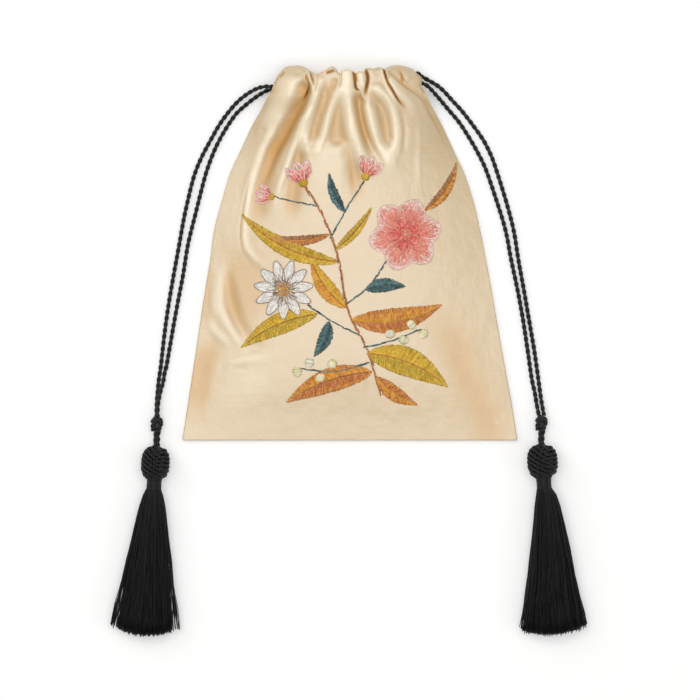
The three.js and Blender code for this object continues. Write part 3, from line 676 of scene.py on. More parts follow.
# A fold's height is negative in a valley. Left and right are its half widths on both sides of its line, which
# runs from the mouth downwards, and the fades are the shares of that line over which it comes and goes. The
# painted shading is how much darker the silk is painted there, as painted shade in valleys and creases, or,
# below zero, how much paler, as a painted highlight on crests.
FOLDS = [Fold(*row) for row in (
    (1.5, 7.5, 6.0, 0.15, 0.4, -1.0, [(-38, 119.5), (-38.4, 111.8), (-40.8, 103), (-44.2, 96.8),
        (-49.4, 88), (-53, 78.2), (-57, 70)]),
    (1.2, 3.2, 3.0, 0.15, 0.4, -0.9, [(-50, 87), (-53, 78.2), (-58.3, 67.6), (-61.8, 57), (-66.2, 42.8),
        (-70, 18)]),
    (0.9, 1.6, 2.4, 0.2, 0.4, -0.6, [(-65.4, 46), (-68, 34), (-70.4, 18), (-69.8, 6), (-65, -2),
        (-57, -8.6), (-47, -13)]),
    (-0.8, 0.8, 0.9, 0.25, 0.4, 0.4, [(-66.6, 50), (-69.4, 38), (-72, 22), (-72.4, 8), (-69, -2)]),
    (1.6, 2.2, 2.6, 0.15, 0.4, -0.9, [(-26.4, 98), (-27.6, 92.3), (-31.3, 85.3), (-35.3, 74.7),
        (-39.7, 63.2), (-44.1, 51.7), (-48.6, 39.3), (-52, 24)]),
    (1.4, 3.2, 3.2, 0.1, 0.15, -0.9, [(-18.5, 117), (-22.9, 103), (-26.5, 90.6), (-29.6, 78.2),
        (-31.3, 63)]),
    (1.3, 2.9, 2.9, 0.1, 0.2, -0.9, [(-5.6, 111), (-9.7, 102.1), (-14.1, 89.7), (-17.6, 78.2),
        (-21.2, 69.4), (-23, 61)]),
    (1.8, 4.8, 4.4, 0.0, 0.3, -0.9, [(-2.1, 122), (-2.6, 110), (-2.6, 98.5), (-0.8, 89.7), (1.8, 78.2),
        (4.5, 67.6), (8, 58.8), (13, 45)]),
    (1.5, 3.4, 4.6, 0.15, 0.3, -0.9, [(9.8, 101.5), (12, 92.3), (13.8, 84.4), (16.9, 75.5), (20.8, 67.6),
        (25.5, 58), (29, 46)]),
    (1.8, 3.8, 3.2, 0.1, 0.25, -0.9, [(14.5, 112), (16.4, 108.3), (22.2, 102.1), (27.5, 94.1), (30.1, 85.3),
        (30.6, 76.4), (29.4, 67.6), (25, 55)]),
    (1.2, 3.0, 3.0, 0.1, 0.3, -0.6, [(24.8, 116), (31.9, 105.6), (38.9, 96.8), (44, 89)]),
    (0.9, 28, 2.0, 0.2, 0.2, -0.35, [(-34, 66), (-2, 67.5)]),
    (0.3, 6, 5, 0.3, 0.4, -0.2, [(-70, 76), (-75, 55), (-80, 30), (-84, 5)]),
    (1.0, 2.6, 2.4, 0.0, 0.4, -0.6, [(6.4, 122), (7.4, 112), (8.6, 104)]),
    (1.2, 1.5, 1.5, 0.3, 0.3, -0.4, [(-15.5, 121), (-13, 121.8), (-10.6, 121)]),
    (-6.0, 7.5, 3.4, 0.08, 0.5, 1.0, [(-26, 112.5), (-28.7, 106.5), (-31.8, 98.5), (-37.1, 88.8),
        (-42.4, 78.2), (-48.6, 67.6), (-53, 57), (-59.2, 42.8), (-63, 30)]),
    (-1.0, 5.9, 5.2, 0.5, 0.3, 0.45, [(-50, 62), (-53, 54), (-57.4, 42), (-60.6, 29), (-62.4, 17)]),
    (-2.2, 4.6, 4.6, 0.25, 0.15, 0.55, [(-16, 115), (-17.2, 101.2), (-20.3, 92.3), (-22.9, 83.5),
        (-25, 71)]),
    (-2.2, 5.4, 5.8, 0.4, 0.12, 0.5, [(-6.2, 109), (-7, 100), (-8.3, 88), (-8.8, 78.2), (-9, 69.5)]),
    (-1.4, 4.2, 4.8, 0.2, 0.35, 0.6, [(-30.5, 77), (-32.5, 70), (-34, 63), (-35.3, 52.6), (-37, 43.7),
        (-38.6, 30), (-39.4, 16)]),
    (-1.3, 3.8, 4.4, 0.25, 0.45, 0.6, [(-1, 80), (0.1, 72.9), (1.8, 64.1), (2.7, 52.6), (4.5, 39.3),
        (6, 28)]),
    (-3.6, 3.4, 3.2, 0.12, 0.45, 0.7, [(5.4, 106), (5.4, 102), (6.0, 95.9), (7.1, 87.9), (9.8, 78.2),
        (14.2, 67.6), (19.5, 59)]),
    (-2.4, 4.8, 4.8, 0.3, 0.15, 0.45, [(14.6, 108), (17, 101), (20.4, 94.1), (22.2, 85.3), (23.5, 76.4),
        (25, 68.5)]),
    (-3.4, 0.6, 0.6, 0.0, 0.2, 1.7, [(0.4, 122), (1.6, 118.5), (2.8, 112.3), (3.6, 107.5), (6.6, 105)]),
    (-2.0, 0.5, 0.5, 0.1, 0.4, 1.4, [(2.2, 121), (3.2, 116), (4.4, 110.6)]),
    (0.9, 0.8, 0.8, 0.2, 0.3, -0.7, [(3.9, 109), (6.8, 106.4), (8.0, 103), (9.4, 99)]),
    (-4.0, 0.8, 0.8, 0.0, 0.4, 1.5, [(9.6, 121), (11.2, 115.3), (11.2, 111.6), (10.2, 107), (9.6, 101)]),
    (-2.4, 0.8, 0.8, 0.15, 0.4, 0.9, [(-29.4, 117.5), (-28.5, 113.5), (-27.2, 110), (-27.7, 106.8),
        (-29.6, 102.2), (-32.5, 98)]),
    (1.2, 0.8, 0.8, 0.1, 0.3, -0.9, [(-29.2, 121), (-28, 118), (-26.1, 112.4), (-24.9, 107.6),
        (-25.2, 102)]),
    (-1.8, 0.7, 0.7, 0.1, 0.5, 0.9, [(-27.2, 121), (-26.2, 117.5), (-24.3, 111), (-23.4, 107)]),
    (-0.6, 3.0, 2.6, 0.2, 0.3, 0.22, [(-33.6, 120), (-32.6, 113), (-31, 106)]),
    (-1.0, 2.2, 2.2, 0.3, 0.4, 0.5, [(-10.2, 115), (-10.6, 110), (-12.6, 103.5)]),
    (-3.0, 0.55, 0.55, 0.0, 0.3, 1.6, [(21.2, 122), (22.6, 117), (24.3, 111.6), (27.3, 106.7),
        (30.7, 100.8), (33.4, 97.6), (37.6, 92.6)]),
    (0.9, 0.9, 0.9, 0.1, 0.3, -0.8, [(19.8, 121), (21.4, 114.3), (24.4, 107.6), (28.4, 101.2), (32, 96.4)]),
    (-1.8, 0.9, 3.0, 0.1, 0.4, 0.4, [(23.6, 120), (26.7, 117), (30.4, 113.4), (34.4, 110.4), (39.5, 106.7),
        (44.3, 103.4), (47.8, 99.6), (53, 91), (59, 80), (67, 64)]),
    (0.6, 1.2, 1.2, 0.3, 0.4, -0.4, [(34.6, 119.4), (36.8, 115.2), (38.4, 111)]),
    (-1.0, 1.6, 2.6, 0.2, 0.25, 0.15, [(31, 97), (34.4, 85.3), (35, 76.4), (33, 65)]),
    (-1.4, 1.0, 0.9, 0.3, 0.4, 0.8, [(32.4, 120), (33.8, 116.4), (34.5, 113.4), (34.8, 110)]),
    (-1.4, 1.4, 3.2, 0.15, 0.35, 0.25, [(-46.5, 111), (-51, 105.5), (-55.6, 98.5), (-61.8, 86.2),
        (-68, 73)]),
    (-1.6, 0.9, 0.9, 0.3, 0.3, 0.9, [(-46.8, 114.4), (-44.4, 117.6), (-42.4, 119.4)]),
    (-2.0, 0.6, 0.6, 0.3, 0.3, 1.4, [(-16.4, 117.4), (-13.2, 118.2), (-9.8, 119.2)]),
    (-1.2, 0.7, 0.7, 0.3, 0.3, 0.4, [(-20.6, 119), (-21.8, 111), (-24, 104)]),
    (-1.2, 0.7, 0.7, 0.2, 0.3, 0.5, [(-6.8, 120), (-6.4, 114), (-7.4, 106)]),
    (-0.8, 1.2, 1.2, 0.3, 0.3, 0.35, [(-59.5, 84), (-57, 81.5), (-54.3, 79.3)]),
    (-0.5, 11, 10, 0.4, 0.2, 0.4, [(38, -30), (58, -45), (70, -61), (76, -80), (87, -102), (100, -140)]),
    (0.5, 0.8, 0.8, 0.4, 0.4, -0.4, [(94, -112), (98, -111), (103, -109.6)]),
    (1.4, 4.0, 4.6, 0.3, 0.35, -0.55, [(-86, 2), (-87.2, -13), (-87.8, -25), (-88.4, -34), (-84.4, -42.4),
        (-79, -49.7), (-74, -56), (-67.5, -62), (-58, -66)]),
    (0.8, 2.4, 2.8, 0.3, 0.4, -0.5, [(-95.6, -43), (-90.4, -50.4), (-83, -57), (-76, -61)]),
    (-1.4, 3.6, 5.0, 0.3, 0.35, 0.32, [(-80, 0), (-81, -13), (-80.4, -25), (-77.6, -37), (-73.6, -47.6),
        (-67, -58.4), (-58, -62.6), (-48, -60)]),
    (-0.5, 14, 13, 0.35, 0.35, 0.36, [(-66, 12), (-68, -14), (-66, -34), (-58, -54)]),
    (-0.6, 5, 3.4, 0.3, 0.3, 0.3, [(-94, -4), (-95.4, -22), (-96.4, -38), (-97.6, -52)]),
    (-1.0, 5.4, 7, 0.25, 0.4, 0.47, [(-97, -52), (-94.4, -63), (-98.4, -76), (-101.6, -92),
        (-106.4, -118)]),
    (0.9, 4.5, 1.6, 0.25, 0.4, -0.3, [(-87, -74.6), (-81.6, -72.2), (-73.6, -70), (-62, -67.6),
        (-50, -66)]),
    (-0.7, 0.9, 0.9, 0.3, 0.4, 0.3, [(-83, -73), (-76, -74.2), (-66, -74.8)]),
    (0.3, 16, 18, 0.4, 0.4, -0.2, [(-88, -86), (-70, -88), (-48, -90)]),
    (0.35, 2.4, 1.2, 0.3, 0.4, -0.25, [(44.6, 97), (45.6, 80), (45.4, 58), (46.4, 34)]),
    (-0.3, 1.5, 1.5, 0.4, 0.4, 0.12, [(9.8, -76), (10.4, -88), (9.4, -103)]),
)]
print("folds", len(FOLDS))

# %% What the folds do to the cloth
# A fold is nil beyond so many of its half widths. Crests have steeper sides than valleys, and no valley goes
# deeper than the cords in the casing allow, or the inside of the pouch below it.
FOLD_REACH = 3.2
CREST_POWER = 2.6
VALLEY_POWER = 2.0
CASING_ROOM = 4.0
CASING_DOWN_TO = 114
POUCH_ROOM = 12.0
POUCH_UP_TO = 82
# Broad folds get painted shade and painted highlight with soft edges. The painted shade of a trough fills it
# up to the crests beside it, but not that of a crease.
BROAD = 6.0
SOFT = 2.0
CRISP = 4.0
NARROW = 2.5
FILLING = 1.3


def ease(at, start, stop):
    """A share that goes smoothly from 0 at start to 1 at stop."""
    t = np.clip((at - start) / (stop - start), 0, 1)
    return t * t * (3 - 2 * t)


def beside_line(x, y, route):
    """How far places lie from a line, negative on its right, and the share of the line that is nearest."""
    best = np.full(x.shape, 1e9)
    signed = np.zeros(x.shape)
    place = np.zeros(x.shape)
    for i, (a, b) in enumerate(zip(route, route[1:])):
        step = b - a
        t = np.clip(((x - a[0]) * step[0] + (y - a[1]) * step[1]) / step.dot(step), 0, 1)
        dx, dy = x - a[0] - t * step[0], y - a[1] - t * step[1]
        distance = np.hypot(dx, dy)
        closer = distance < best
        best = np.where(closer, distance, best)
        signed = np.where(closer, np.sign(step[1] * dx - step[0] * dy) * distance, signed)
        place = np.where(closer, (i + t) / (len(route) - 1), place)
    return signed, place


def fold_relief(x, y):
    """How much the folds raise the cloth at places in millimetres, and how much shade or highlight is painted
    on it there.
    """
    relief = np.zeros_like(x)
    tint = np.zeros_like(x)
    for fold in FOLDS:
        route = smooth_route([(px, py, 0) for px, py in fold.line], 0.8)[:, :2]
        reach = FOLD_REACH * max(fold.left, fold.right)
        low, high = route.min(axis=0) - reach, route.max(axis=0) + reach
        near = (x > low[0]) & (x < high[0]) & (y > low[1]) & (y < high[1])
        signed, place = beside_line(x[near], y[near], route)
        start = ease(place, 0, fold.fade_in) if fold.fade_in else 1.0
        fade = start * ease(1 - place, 0, fold.fade_out)
        off = np.abs(signed) / np.where(signed < 0, fold.right, fold.left)
        power = CREST_POWER if fold.height > 0 else VALLEY_POWER
        relief[near] += fold.height * fade * np.exp(-(off**power))
        # The painted shade or painted highlight of this fold, soft-edged for broad folds and filling troughs.
        power = SOFT if fold.left > BROAD else CRISP
        spread = FILLING if fold.tint > 0 and fold.left > NARROW else 1.0
        tint[near] += fold.tint * fade * np.exp(-((off / spread) ** power))
    room = CASING_ROOM + (POUCH_ROOM - CASING_ROOM) * ease(-y, -CASING_DOWN_TO, -POUCH_UP_TO)
    return np.where(relief < 0, room * np.tanh(relief / room), relief), np.clip(tint, -1, 2)


print("folds reach", FOLD_REACH, "half widths")


# %% The front panel's outside
def edges_at(y):
    """The left and right edge of the pouch at a height on the table."""
    return read_table(y, EDGES, 1), read_table(y, EDGES, 2)


def rounded(share):
    """How far a rounded edge has dropped, from 1 at its end to 0 where it has become level."""
    return 1 - np.sqrt(1 - np.clip(1 - share, 0, 1) ** 2)


def off_sides(across):
    """1 over the middle of a panel, falling to 0 at its sides."""
    return 1 - across**8


def sewn_sides(height):
    """1 where the sides of the pouch are sewn together, falling to 0 where the slits are open."""
    return 1 - ease(height, 200, 222)


def dome(across, height):
    """How high the front would stand without its folds and seams."""
    middle, edge, square = (read_table(height, CROWN, column) for column in (1, 2, 3))
    return edge + (middle - edge) * (1 - np.abs(across) ** square)


SEAM_DROP = 1.7
SEAM_SHARE = 0.006
HEM_ROUNDING = 0.6
SAG = 1.2


def front_outside(x, y):
    """Height of the front panel's outside over the table, at places in millimetres."""
    left, right = edges_at(y)
    height = y + HEIGHT / 2
    across = np.clip((2 * x - left - right) / (right - left), -1, 1)
    calm = off_sides(across)
    side_seam = rounded((1 - np.abs(across)) / SEAM_SHARE) * sewn_sides(height)
    seam = np.maximum(side_seam, rounded(height / HEM_ROUNDING))
    relief, _ = fold_relief(x, y)
    return dome(across, height) - SEAM_DROP * seam - SAG * calm * ease(height, 20, 90) + relief * calm


print("front is", round(float(front_outside(np.zeros(1), np.zeros(1))[0]), 1), "mm high in its middle")

# %% A panel with its casing
# The rows of faces and the length of cloth in each stretch of a panel. The bottom corners are a little
# rounded. At the slits the turned-in cloth is cut back, so that the cord can turn there.
ROWS = {"hem": 4, "panel": 118, "casing": 30, "turn": 8, "flap": 10}
LENGTHS = {"hem": 0.9, "panel": STITCH - 0.9, "casing": CASING, "turn": 6.0, "flap": CASING}
CORNER = 1.4
SLIT_CUT = 7.8
# Rows of faces crowd a little towards the mouth, and columns towards the sides, where the shape turns most.
ROW_CROWDING = 1.15
COLUMN_CROWDING = 1.25
MOUTH_MIDDLE = -2.0
MOUTH_HALF = 40.6
CLOTH_HALF = 110


def sheet_shape(across, row, drop, heights):
    """Places of a sheet that goes up a panel, over the mouth and down inside, with where they are on the
    cloth and how far they are turned in.

    The heights are a function of the place across and of x and y. It gives the sheet's height over the table
    outside the mouth, inside it, and where the inner end is sewn to the panel.
    """
    casing = read_table(MOUTH_MIDDLE + across * MOUTH_HALF, TOP_EDGE, 1) - drop - STITCH
    height, along, turned, sewn = (np.zeros_like(across) for _ in range(4))
    number = 0
    before = 0.0
    for stretch, count in ROWS.items():
        for part in np.linspace(0 if number == 0 else 1 / count, 1, count + (number == 0)):
            at = row == number
            height[at] = {
                "hem": LENGTHS["hem"] * part,
                "panel": STITCH - LENGTHS["panel"] * (1 - part) ** ROW_CROWDING,
                "casing": STITCH + 0.9 * casing[at] * part,
                "turn": STITCH + casing[at] * (0.9 + 0.1 * math.sin(math.pi * part)),
                "flap": STITCH + 0.9 * casing[at] * (1 - part),
            }[stretch]
            turned[at] = {"turn": 0.5 - 0.5 * math.cos(math.pi * part), "flap": 1.0}.get(stretch, 0.0)
            sewn[at] = max(0.0, 4 * part - 3) ** 2 if stretch == "flap" else 0.0
            along[at] = before + LENGTHS[stretch] * part
            number += 1
        before += LENGTHS[stretch]
    y = height - HEIGHT / 2
    left, right = edges_at(y)
    narrower = CORNER * rounded(height / CORNER) + SLIT_CUT * turned
    x = (left + right) / 2 + across * ((right - left) / 2 - narrower)
    outside, inside, end = heights(across, x, y)
    z = outside + turned * (inside - outside) + sewn * (end - inside)
    return np.stack([x, y, z], axis=1), np.stack([across * CLOTH_HALF, along], axis=1), turned


def cloth_piece(name, columns, drop, heights, finish, share_of_painted_shading):
    """A sheet from a grid that runs from -1 to 1 across, moved into shape, with coordinates on its weave."""
    rows = sum(ROWS.values())
    bm = bmesh.new()
    bmesh.ops.create_grid(bm, x_segments=columns, y_segments=rows, size=1)
    flat = np.array([vert.co[:2] for vert in bm.verts])
    row = np.rint((flat[:, 1] + 1) / 2 * rows).astype(int)
    across = np.sign(flat[:, 0]) * (1 - (1 - np.abs(flat[:, 0])) ** COLUMN_CROWDING)
    places, coordinates, turned = sheet_shape(across, row, drop, heights)
    for vert, place in zip(bm.verts, places * MM):
        vert.co = place
    weave = bm.loops.layers.uv.new("cloth")
    # The painted shade and painted highlight of the folds go on the vertices for the silk to read; none on
    # the turned-in cloth.
    painted_shading_layer = bm.verts.layers.float.new("tint")
    painted_shading_values = fold_relief(places[:, 0], places[:, 1])[1] * share_of_painted_shading * (1 - turned)
    for vert, value in zip(bm.verts, painted_shading_values):
        vert[painted_shading_layer] = value
    bm.verts.index_update()
    for face in bm.faces:
        face.smooth = True
        for loop in face.loops:
            loop[weave].uv = coordinates[loop.vert.index] * MM
    mesh = bpy.data.meshes.new(name)
    bm.to_mesh(mesh)
    bm.free()
    mesh.materials.append(finish.material)
    piece = bpy.data.objects.new(name, mesh)
    bpy.context.collection.objects.link(piece)
    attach(piece, "root")
    thickness = piece.modifiers.new("cloth_thickness", "SOLIDIFY")
    thickness.thickness = CLOTH * MM
    thickness.offset = -1
    print(piece.name, len(piece.data.polygons), "faces before thickness")
    return piece


print("rows of faces in a panel", sum(ROWS.values()))

# %% [markdown]
# ## The silk
#
# The silk is slubbed: threads of uneven thickness run across it, and handling has left soft dents. A deep
# fold of such a cloth is lit by the silk beside it and looks like darker gold, not like grey. That shade is
# painted into the colour: the painted shade of a fold takes the colour from champagne to gold and brown, and
# a metallic share lets the gloss take the colour of the cloth too. Crests get a painted highlight instead, a
# paler cream. All patterns follow the flat cloth, not the folded one.

# %% Silk
silk = Finish("champagne_silk", Specular_IOR_Level=1.0, IOR=1.7)
cloth_uv = silk.add("ShaderNodeUVMap", {"uv_map": "cloth"})


def weave_noise(scale, detail):
    """Noise on the flat cloth, with that many waves to a metre in both directions."""
    place = silk.add("ShaderNodeMapping", None, {"Vector": cloth_uv, "Scale": scale})
    inputs = {"Vector": place, "Scale": 1.0, "Detail": detail}
    return silk.add("ShaderNodeTexNoise", {"noise_dimensions": "2D"}, inputs)


slub = weave_noise((22.0, 1100.0, 1.0), 3.0)
weft = weave_noise((240.0, 3600.0, 1.0), 2.0)
rumple = weave_noise((85.0, 85.0, 1.0), 3.0)
tint = silk.add("ShaderNodeAttribute", {"attribute_name": "tint"}).out("Fac")
tone = silk.mix(slub, colour(204, 178, 137), colour(212, 189, 150))
# Painted highlight: crests are mixed towards pale cream. Painted shade: valleys towards gold, creases towards
# brown.
tone = silk.mix(-1.0 * tint, tone, colour(236, 219, 186))
tone = silk.mix(tint, tone, colour(192, 141, 62))
silk.vary(Base_Color=silk.mix(tint - 1.0, tone, colour(112, 68, 30)))
# The painted shade of the valleys also makes the silk rougher and partly metallic there.
painted_valley_shade = tint.maths("MAXIMUM", tint, 0.0)
silk.vary(Roughness=0.38 + 0.1 * slub + 0.2 * painted_valley_shade, Metallic=0.45 * painted_valley_shade)
silk.bump(0.7 * slub + 0.3 * weft + 9.0 * rumple, 0.2, 0.0003)
print("silk", silk.material.name)

# %% [markdown]
# ## The two panels
#
# Each panel is one sheet. It goes up from the hem, over the mouth and down inside, where its end is sewn to
# it to make the casing. The back isn't seen in the photograph, so it gets even gathers that fade out below.

# %% The front panel
# How far the turned-in cloth lies from the outside, how much farther in the middle, and how far where it is
# sewn.
FLAP_GAP = 7.0
FLAP_SAG = 4.5
SEWN_GAP = 1.6


def front_heights(across, x, y):
    """The front's heights outside and inside the mouth, and where the casing is sewn."""
    outside = front_outside(x, y)
    inside = dome(across, y + HEIGHT / 2) - FLAP_SAG * off_sides(across) - FLAP_GAP
    return outside, inside, outside - SEWN_GAP


front = cloth_piece("silk_front", 288, 0.0, front_heights, silk, 1.0)
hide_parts("front_panel")

# %% The back panel
# Each wave of the gathers has a number of half waves across, a start and a height.
GATHERS = [(5.0, 0.4, 0.5), (8.0, 1.9, 0.6), (13.0, 0.2, 0.25)]
GATHER_HEIGHT = 2.4
GATHER_LENGTH = 60
BACK_DROP = 2.5


def back_heights(across, x, y):
    """The back's heights outside and inside the mouth, and where the casing is sewn."""
    height = y + HEIGHT / 2
    calm = off_sides(across)
    fade = ease(height, STITCH - GATHER_LENGTH, STITCH)
    waves = [size * (0.5 - 0.5 * np.cos(count * math.pi * across + start)) for count, start, size in GATHERS]
    gather = sum(waves)
    outside = 0.3 * np.abs(across) ** 12 * sewn_sides(height) + GATHER_HEIGHT * fade * gather * calm
    inside = FLAP_GAP + (2.2 + 1.6 * gather * fade) * calm
    return outside, inside, outside + SEWN_GAP


back = cloth_piece("silk_back", 110, BACK_DROP, back_heights, silk, 0.0)
back.modifiers["cloth_thickness"].offset = 1
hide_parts("back_panel")

# %% [markdown]
# ## The cords in the casings
#
# Each cord goes in at one slit, through the front casing to the other slit, and back through the back casing,
# so that pulling at both sides draws the mouth shut. The runs are hidden by the cloth, but they show in the
# slits, and the free strands would end in the air without them.

# %% Hidden runs of the cords
# A run lies about midway between a panel and its turned-in cloth. It is straight as far as the slits, where
# it bends over from the front to the back.
CORD_LINE = 111.1
RUN_HALF = 48.8
RUN_LEAN = -1.8
RUN_APART = 1.8
STRAIGHT = 36
TURN_START = 42.5
TURN_DEPTH = 3.2
RUNS = [
    ("drawcord_left_run", -1, "drawcord_left_outer", "drawcord_left_inner"),
    ("drawcord_right_run", 1, "drawcord_right_inner", "drawcord_right_outer"),
]


def in_casing(x, side, level):
    """Places in the front casing at level 1, in the back casing at level 0, and between them in the slit."""
    share = x / RUN_HALF
    front_middle = dome(share, CORD_LINE + HEIGHT / 2) - 3.1 - 5.7 * off_sides(share)
    back_middle = 3.5 + 3.0 * off_sides(share)
    z = back_middle + (front_middle - back_middle) * level
    return np.stack([RUN_LEAN + side * x, 0 * x + CORD_LINE + RUN_APART * side, z], axis=1)


def lead_in(points, length):
    """The place a length before the start of a route."""
    first, second = np.array(points[:2], dtype=float)
    return first + (first - second) / np.linalg.norm(first - second) * length


bend = np.linspace(0, math.pi, 5)
for node, side, front_strand, back_strand in RUNS:
    through = in_casing(np.linspace(STRAIGHT, -STRAIGHT, 10), side, 1.0)
    turn = in_casing(-TURN_START - TURN_DEPTH * np.sin(bend), side, 0.5 + 0.5 * np.cos(bend))
    returning = in_casing(np.linspace(-STRAIGHT, STRAIGHT, 10), side, 0.0)
    going_in, coming_out = (
        [lead_in(ROUTES[strand], length) for length in (0, 4)] for strand in (front_strand, back_strand)
    )
    route = smooth_route([*going_in, *through, *turn, *returning, *coming_out[::-1]], ROUTE_STEP) * MM
    twisted_cord(node, route)

# %% [markdown]
# ## The embroidered spray
#
# The front carries a spray of blossoms and leaves in coloured silks. Paint would look printed, so every
# stitch here is a short thread that rises a little above the cloth. Leaves are filled with slanted runs of
# stitches on both sides of a vein, petals with runs from base to rim, and stems and outlines with a row of
# overlapping stitches. Each stitch has a tone of its own, because a glossy thread looks lighter or darker
# with the way it happens to lie.

# %% Coloured silks
SILKS = {
    "coral": (236, 78, 68), "salmon": (246, 136, 112), "blush": (253, 210, 196), "ivory": (252, 247, 238),
    "taupe": (160, 130, 104), "mustard": (234, 182, 4), "olive_gold": (208, 164, 6), "ochre": (234, 148, 14),
    "rust": (208, 106, 24), "brown": (164, 96, 34), "teal": (52, 104, 104), "dark_teal": (26, 58, 60),
    "straw": (244, 234, 160),
}
silk_number = {name: number for number, name in enumerate(SILKS)}
silk_finishes = []
for name, shade in SILKS.items():
    twist = Finish(f"embroidery_{name}", Specular_IOR_Level=0.5)
    tone = twist.add("ShaderNodeAttribute", {"attribute_name": "tone"}).out("Fac")
    grain = twist.noise(2600.0)
    dark = [0.78 * value for value in shade]
    pale = [value + 0.3 * (255 - value) for value in shade]
    twist.vary(Base_Color=twist.mix(0.75 * tone + 0.25 * grain, colour(*dark), colour(*pale)))
    twist.vary(Roughness=0.3 + 0.2 * grain)
    silk_finishes.append(twist)
print("silks", ", ".join(SILKS))

# %% Ways of stitching
Stitch = namedtuple("Stitch", "start stop silk lift")
THREAD_GAP = 0.52
STITCH_LENGTH = 2.4
LAP = 0.3
needle = random.Random(4)


def jitter(size):
    return needle.uniform(-size, size)


def run_of_stitches(at, length, silk_at, lift, start=0.0):
    """Short overlapping stitches along a line, which is given as a function of its share."""
    count = max(1, round((1 - start) * length / STITCH_LENGTH))
    cuts = [
        start + (1 - start) * (i + (jitter(0.3) if 0 < i < count else 0)) / count
        for i in range(count + 1)
    ]
    lap = LAP / max(length, 1.0)
    return [
        Stitch(at(max(0.0, a - lap)), at(min(1.0, b + lap)), silk_at((a + b) / 2), lift)
        for a, b in zip(cuts, cuts[1:])
    ]


def line_of_stitches(points, silks, lift, width=0.0, threads=1):
    """One or more rows of overlapping stitches along a curve through the given points."""
    route = smooth_route([(x, y, 0) for x, y in points], STITCH_LENGTH)[:, :2]
    made = []
    for start, stop in zip(route, route[1:]):
        for _ in range(threads):
            nudge = np.array((jitter(width), jitter(width)))
            lap = LAP * (stop - start) / STITCH_LENGTH
            made.append(Stitch(start - lap + nudge, stop + lap + nudge, needle.choice(silks), lift))
    return made


def bowed_line(base, tip, bend):
    """A gently curved line as a function of its share, with the direction to its left and its length."""
    base, tip = np.array(base, dtype=float), np.array(tip, dtype=float)
    run = tip - base
    left = np.array((-run[1], run[0])) / np.linalg.norm(run)
    middle = (base + tip) / 2 + 2 * bend * left

    def at(share):
        return (1 - share) ** 2 * base + 2 * share * (1 - share) * middle + share**2 * tip

    return at, left, float(np.linalg.norm(run))


def satin_leaf(base, tip, bend, half, inner, outer, vein):
    """Slanted runs of stitches from a leaf's vein to its rim, on both sides, with a line along the vein."""
    along, left, length = bowed_line(base, tip, bend)
    made = []
    for share in np.arange(0.0, 0.97, THREAD_GAP / length):
        for side in (-1, 1):
            ahead = min(1.0, share + 0.3 * half / length)
            width = half * max(0.0, math.sin(math.pi * ahead**0.8)) ** 0.85 + jitter(0.4)
            start, stop = along(share), along(ahead) + side * left * max(0.2, width)
            main, other = (inner, outer) if side > 0 else (outer, inner)

            def at(part):
                return start + part * (stop - start)

            def silk_at(part):
                return other if needle.random() < 0.1 + 0.35 * (part > 0.6) else main

            made += run_of_stitches(at, float(np.linalg.norm(stop - start)), silk_at, 0.35)
    made += line_of_stitches([along(share) for share in (0, 0.25, 0.5, 0.75, 0.93)], (vein,), 0.6)
    return made


def petal(base, angle, length, half, silks, fullness, rim, lift=0.45):
    """Runs of stitches from a petal's base to its rim, in bands of several silks, with an outline."""
    ahead = np.array((math.cos(math.radians(angle)), math.sin(math.radians(angle))))
    left = np.array((-ahead[1], ahead[0]))
    base = np.array(base, dtype=float)

    def at(share, across):
        width = half * share**fullness * math.sqrt(max(0.0, 1 - 0.55 * share**5))
        return base + ahead * length * share * (1 - 0.28 * across**2) + left * width * across

    def silk_at(part):
        band = int(len(silks) * part + jitter(0.8))
        return silks[min(len(silks) - 1, max(0, band))]

    made = []
    for number, across in enumerate(np.linspace(-1, 1, max(5, int(1.8 * half / THREAD_GAP)))):
        reach = length * (1 - 0.28 * across**2)
        made += run_of_stitches(
            lambda share: at(share, across), reach, silk_at, lift, start=0.4 if number % 2 else 0.06
        )
    outline = [at(share, -1) for share in (0.2, 0.45, 0.7, 0.88)]
    outline += [at(1.0, across) for across in (-1, -0.6, 0, 0.6, 1)]
    outline += [at(share, 1) for share in (0.88, 0.7, 0.45, 0.2)]
    return made + line_of_stitches(outline, (rim,), lift + 0.2)


def padded_dot(middle, radius, lean, silks):
    """Level stitches over a small round pad."""
    c, s = math.cos(lean), math.sin(lean)
    made = []
    for off in np.arange(THREAD_GAP / 2 - radius, radius, THREAD_GAP):
        half = math.sqrt(radius**2 - off**2)
        ends = [np.array((middle[0] + c * h - s * off, middle[1] + s * h + c * off)) for h in (-half, half)]
        made.append(Stitch(ends[0], ends[1], needle.choice(silks), 0.3 + 0.7 * half / radius))
    return made


def seeded_disc(middle, radius, silks):
    """Short stitches scattered over a blossom's eye."""
    made = []
    for _ in range(int(4 * radius * radius)):
        turn, far = needle.uniform(0, 2 * math.pi), radius * math.sqrt(needle.random())
        start = np.array((middle[0] + far * math.cos(turn), middle[1] + far * math.sin(turn)))
        lean = needle.uniform(0, 2 * math.pi)
        stop = start + 1.3 * np.array((math.cos(lean), math.sin(lean)))
        made.append(Stitch(start, stop, needle.choice(silks), 0.9))
    return made


print("stitches are", STITCH_LENGTH, "mm long and", THREAD_GAP, "mm apart")

# %% Stems and leaves
GREEN = ("dark_teal", "teal")
stems = line_of_stitches(
    [(20, -93), (12, -66), (-2, -36), (-8, -4), (-18, 24), (-30, 44)], ("brown", "rust"), 0.5, 0.7, 3
)
for branch in (
    [(-3, -34), (12, -22), (24, -5)],
    [(6, -54), (-12, -45), (-28, -34)],
    [(-13, 10), (-2, 30), (9, 47)],
    [(-22, 31), (-38, 34), (-50, 37)],
    [(9, -62), (26, -58), (46, -50)],
    [(12, -72), (-10, -78), (-32, -76)],
):
    stems += line_of_stitches(branch, GREEN, 0.45, 0.45, 2)

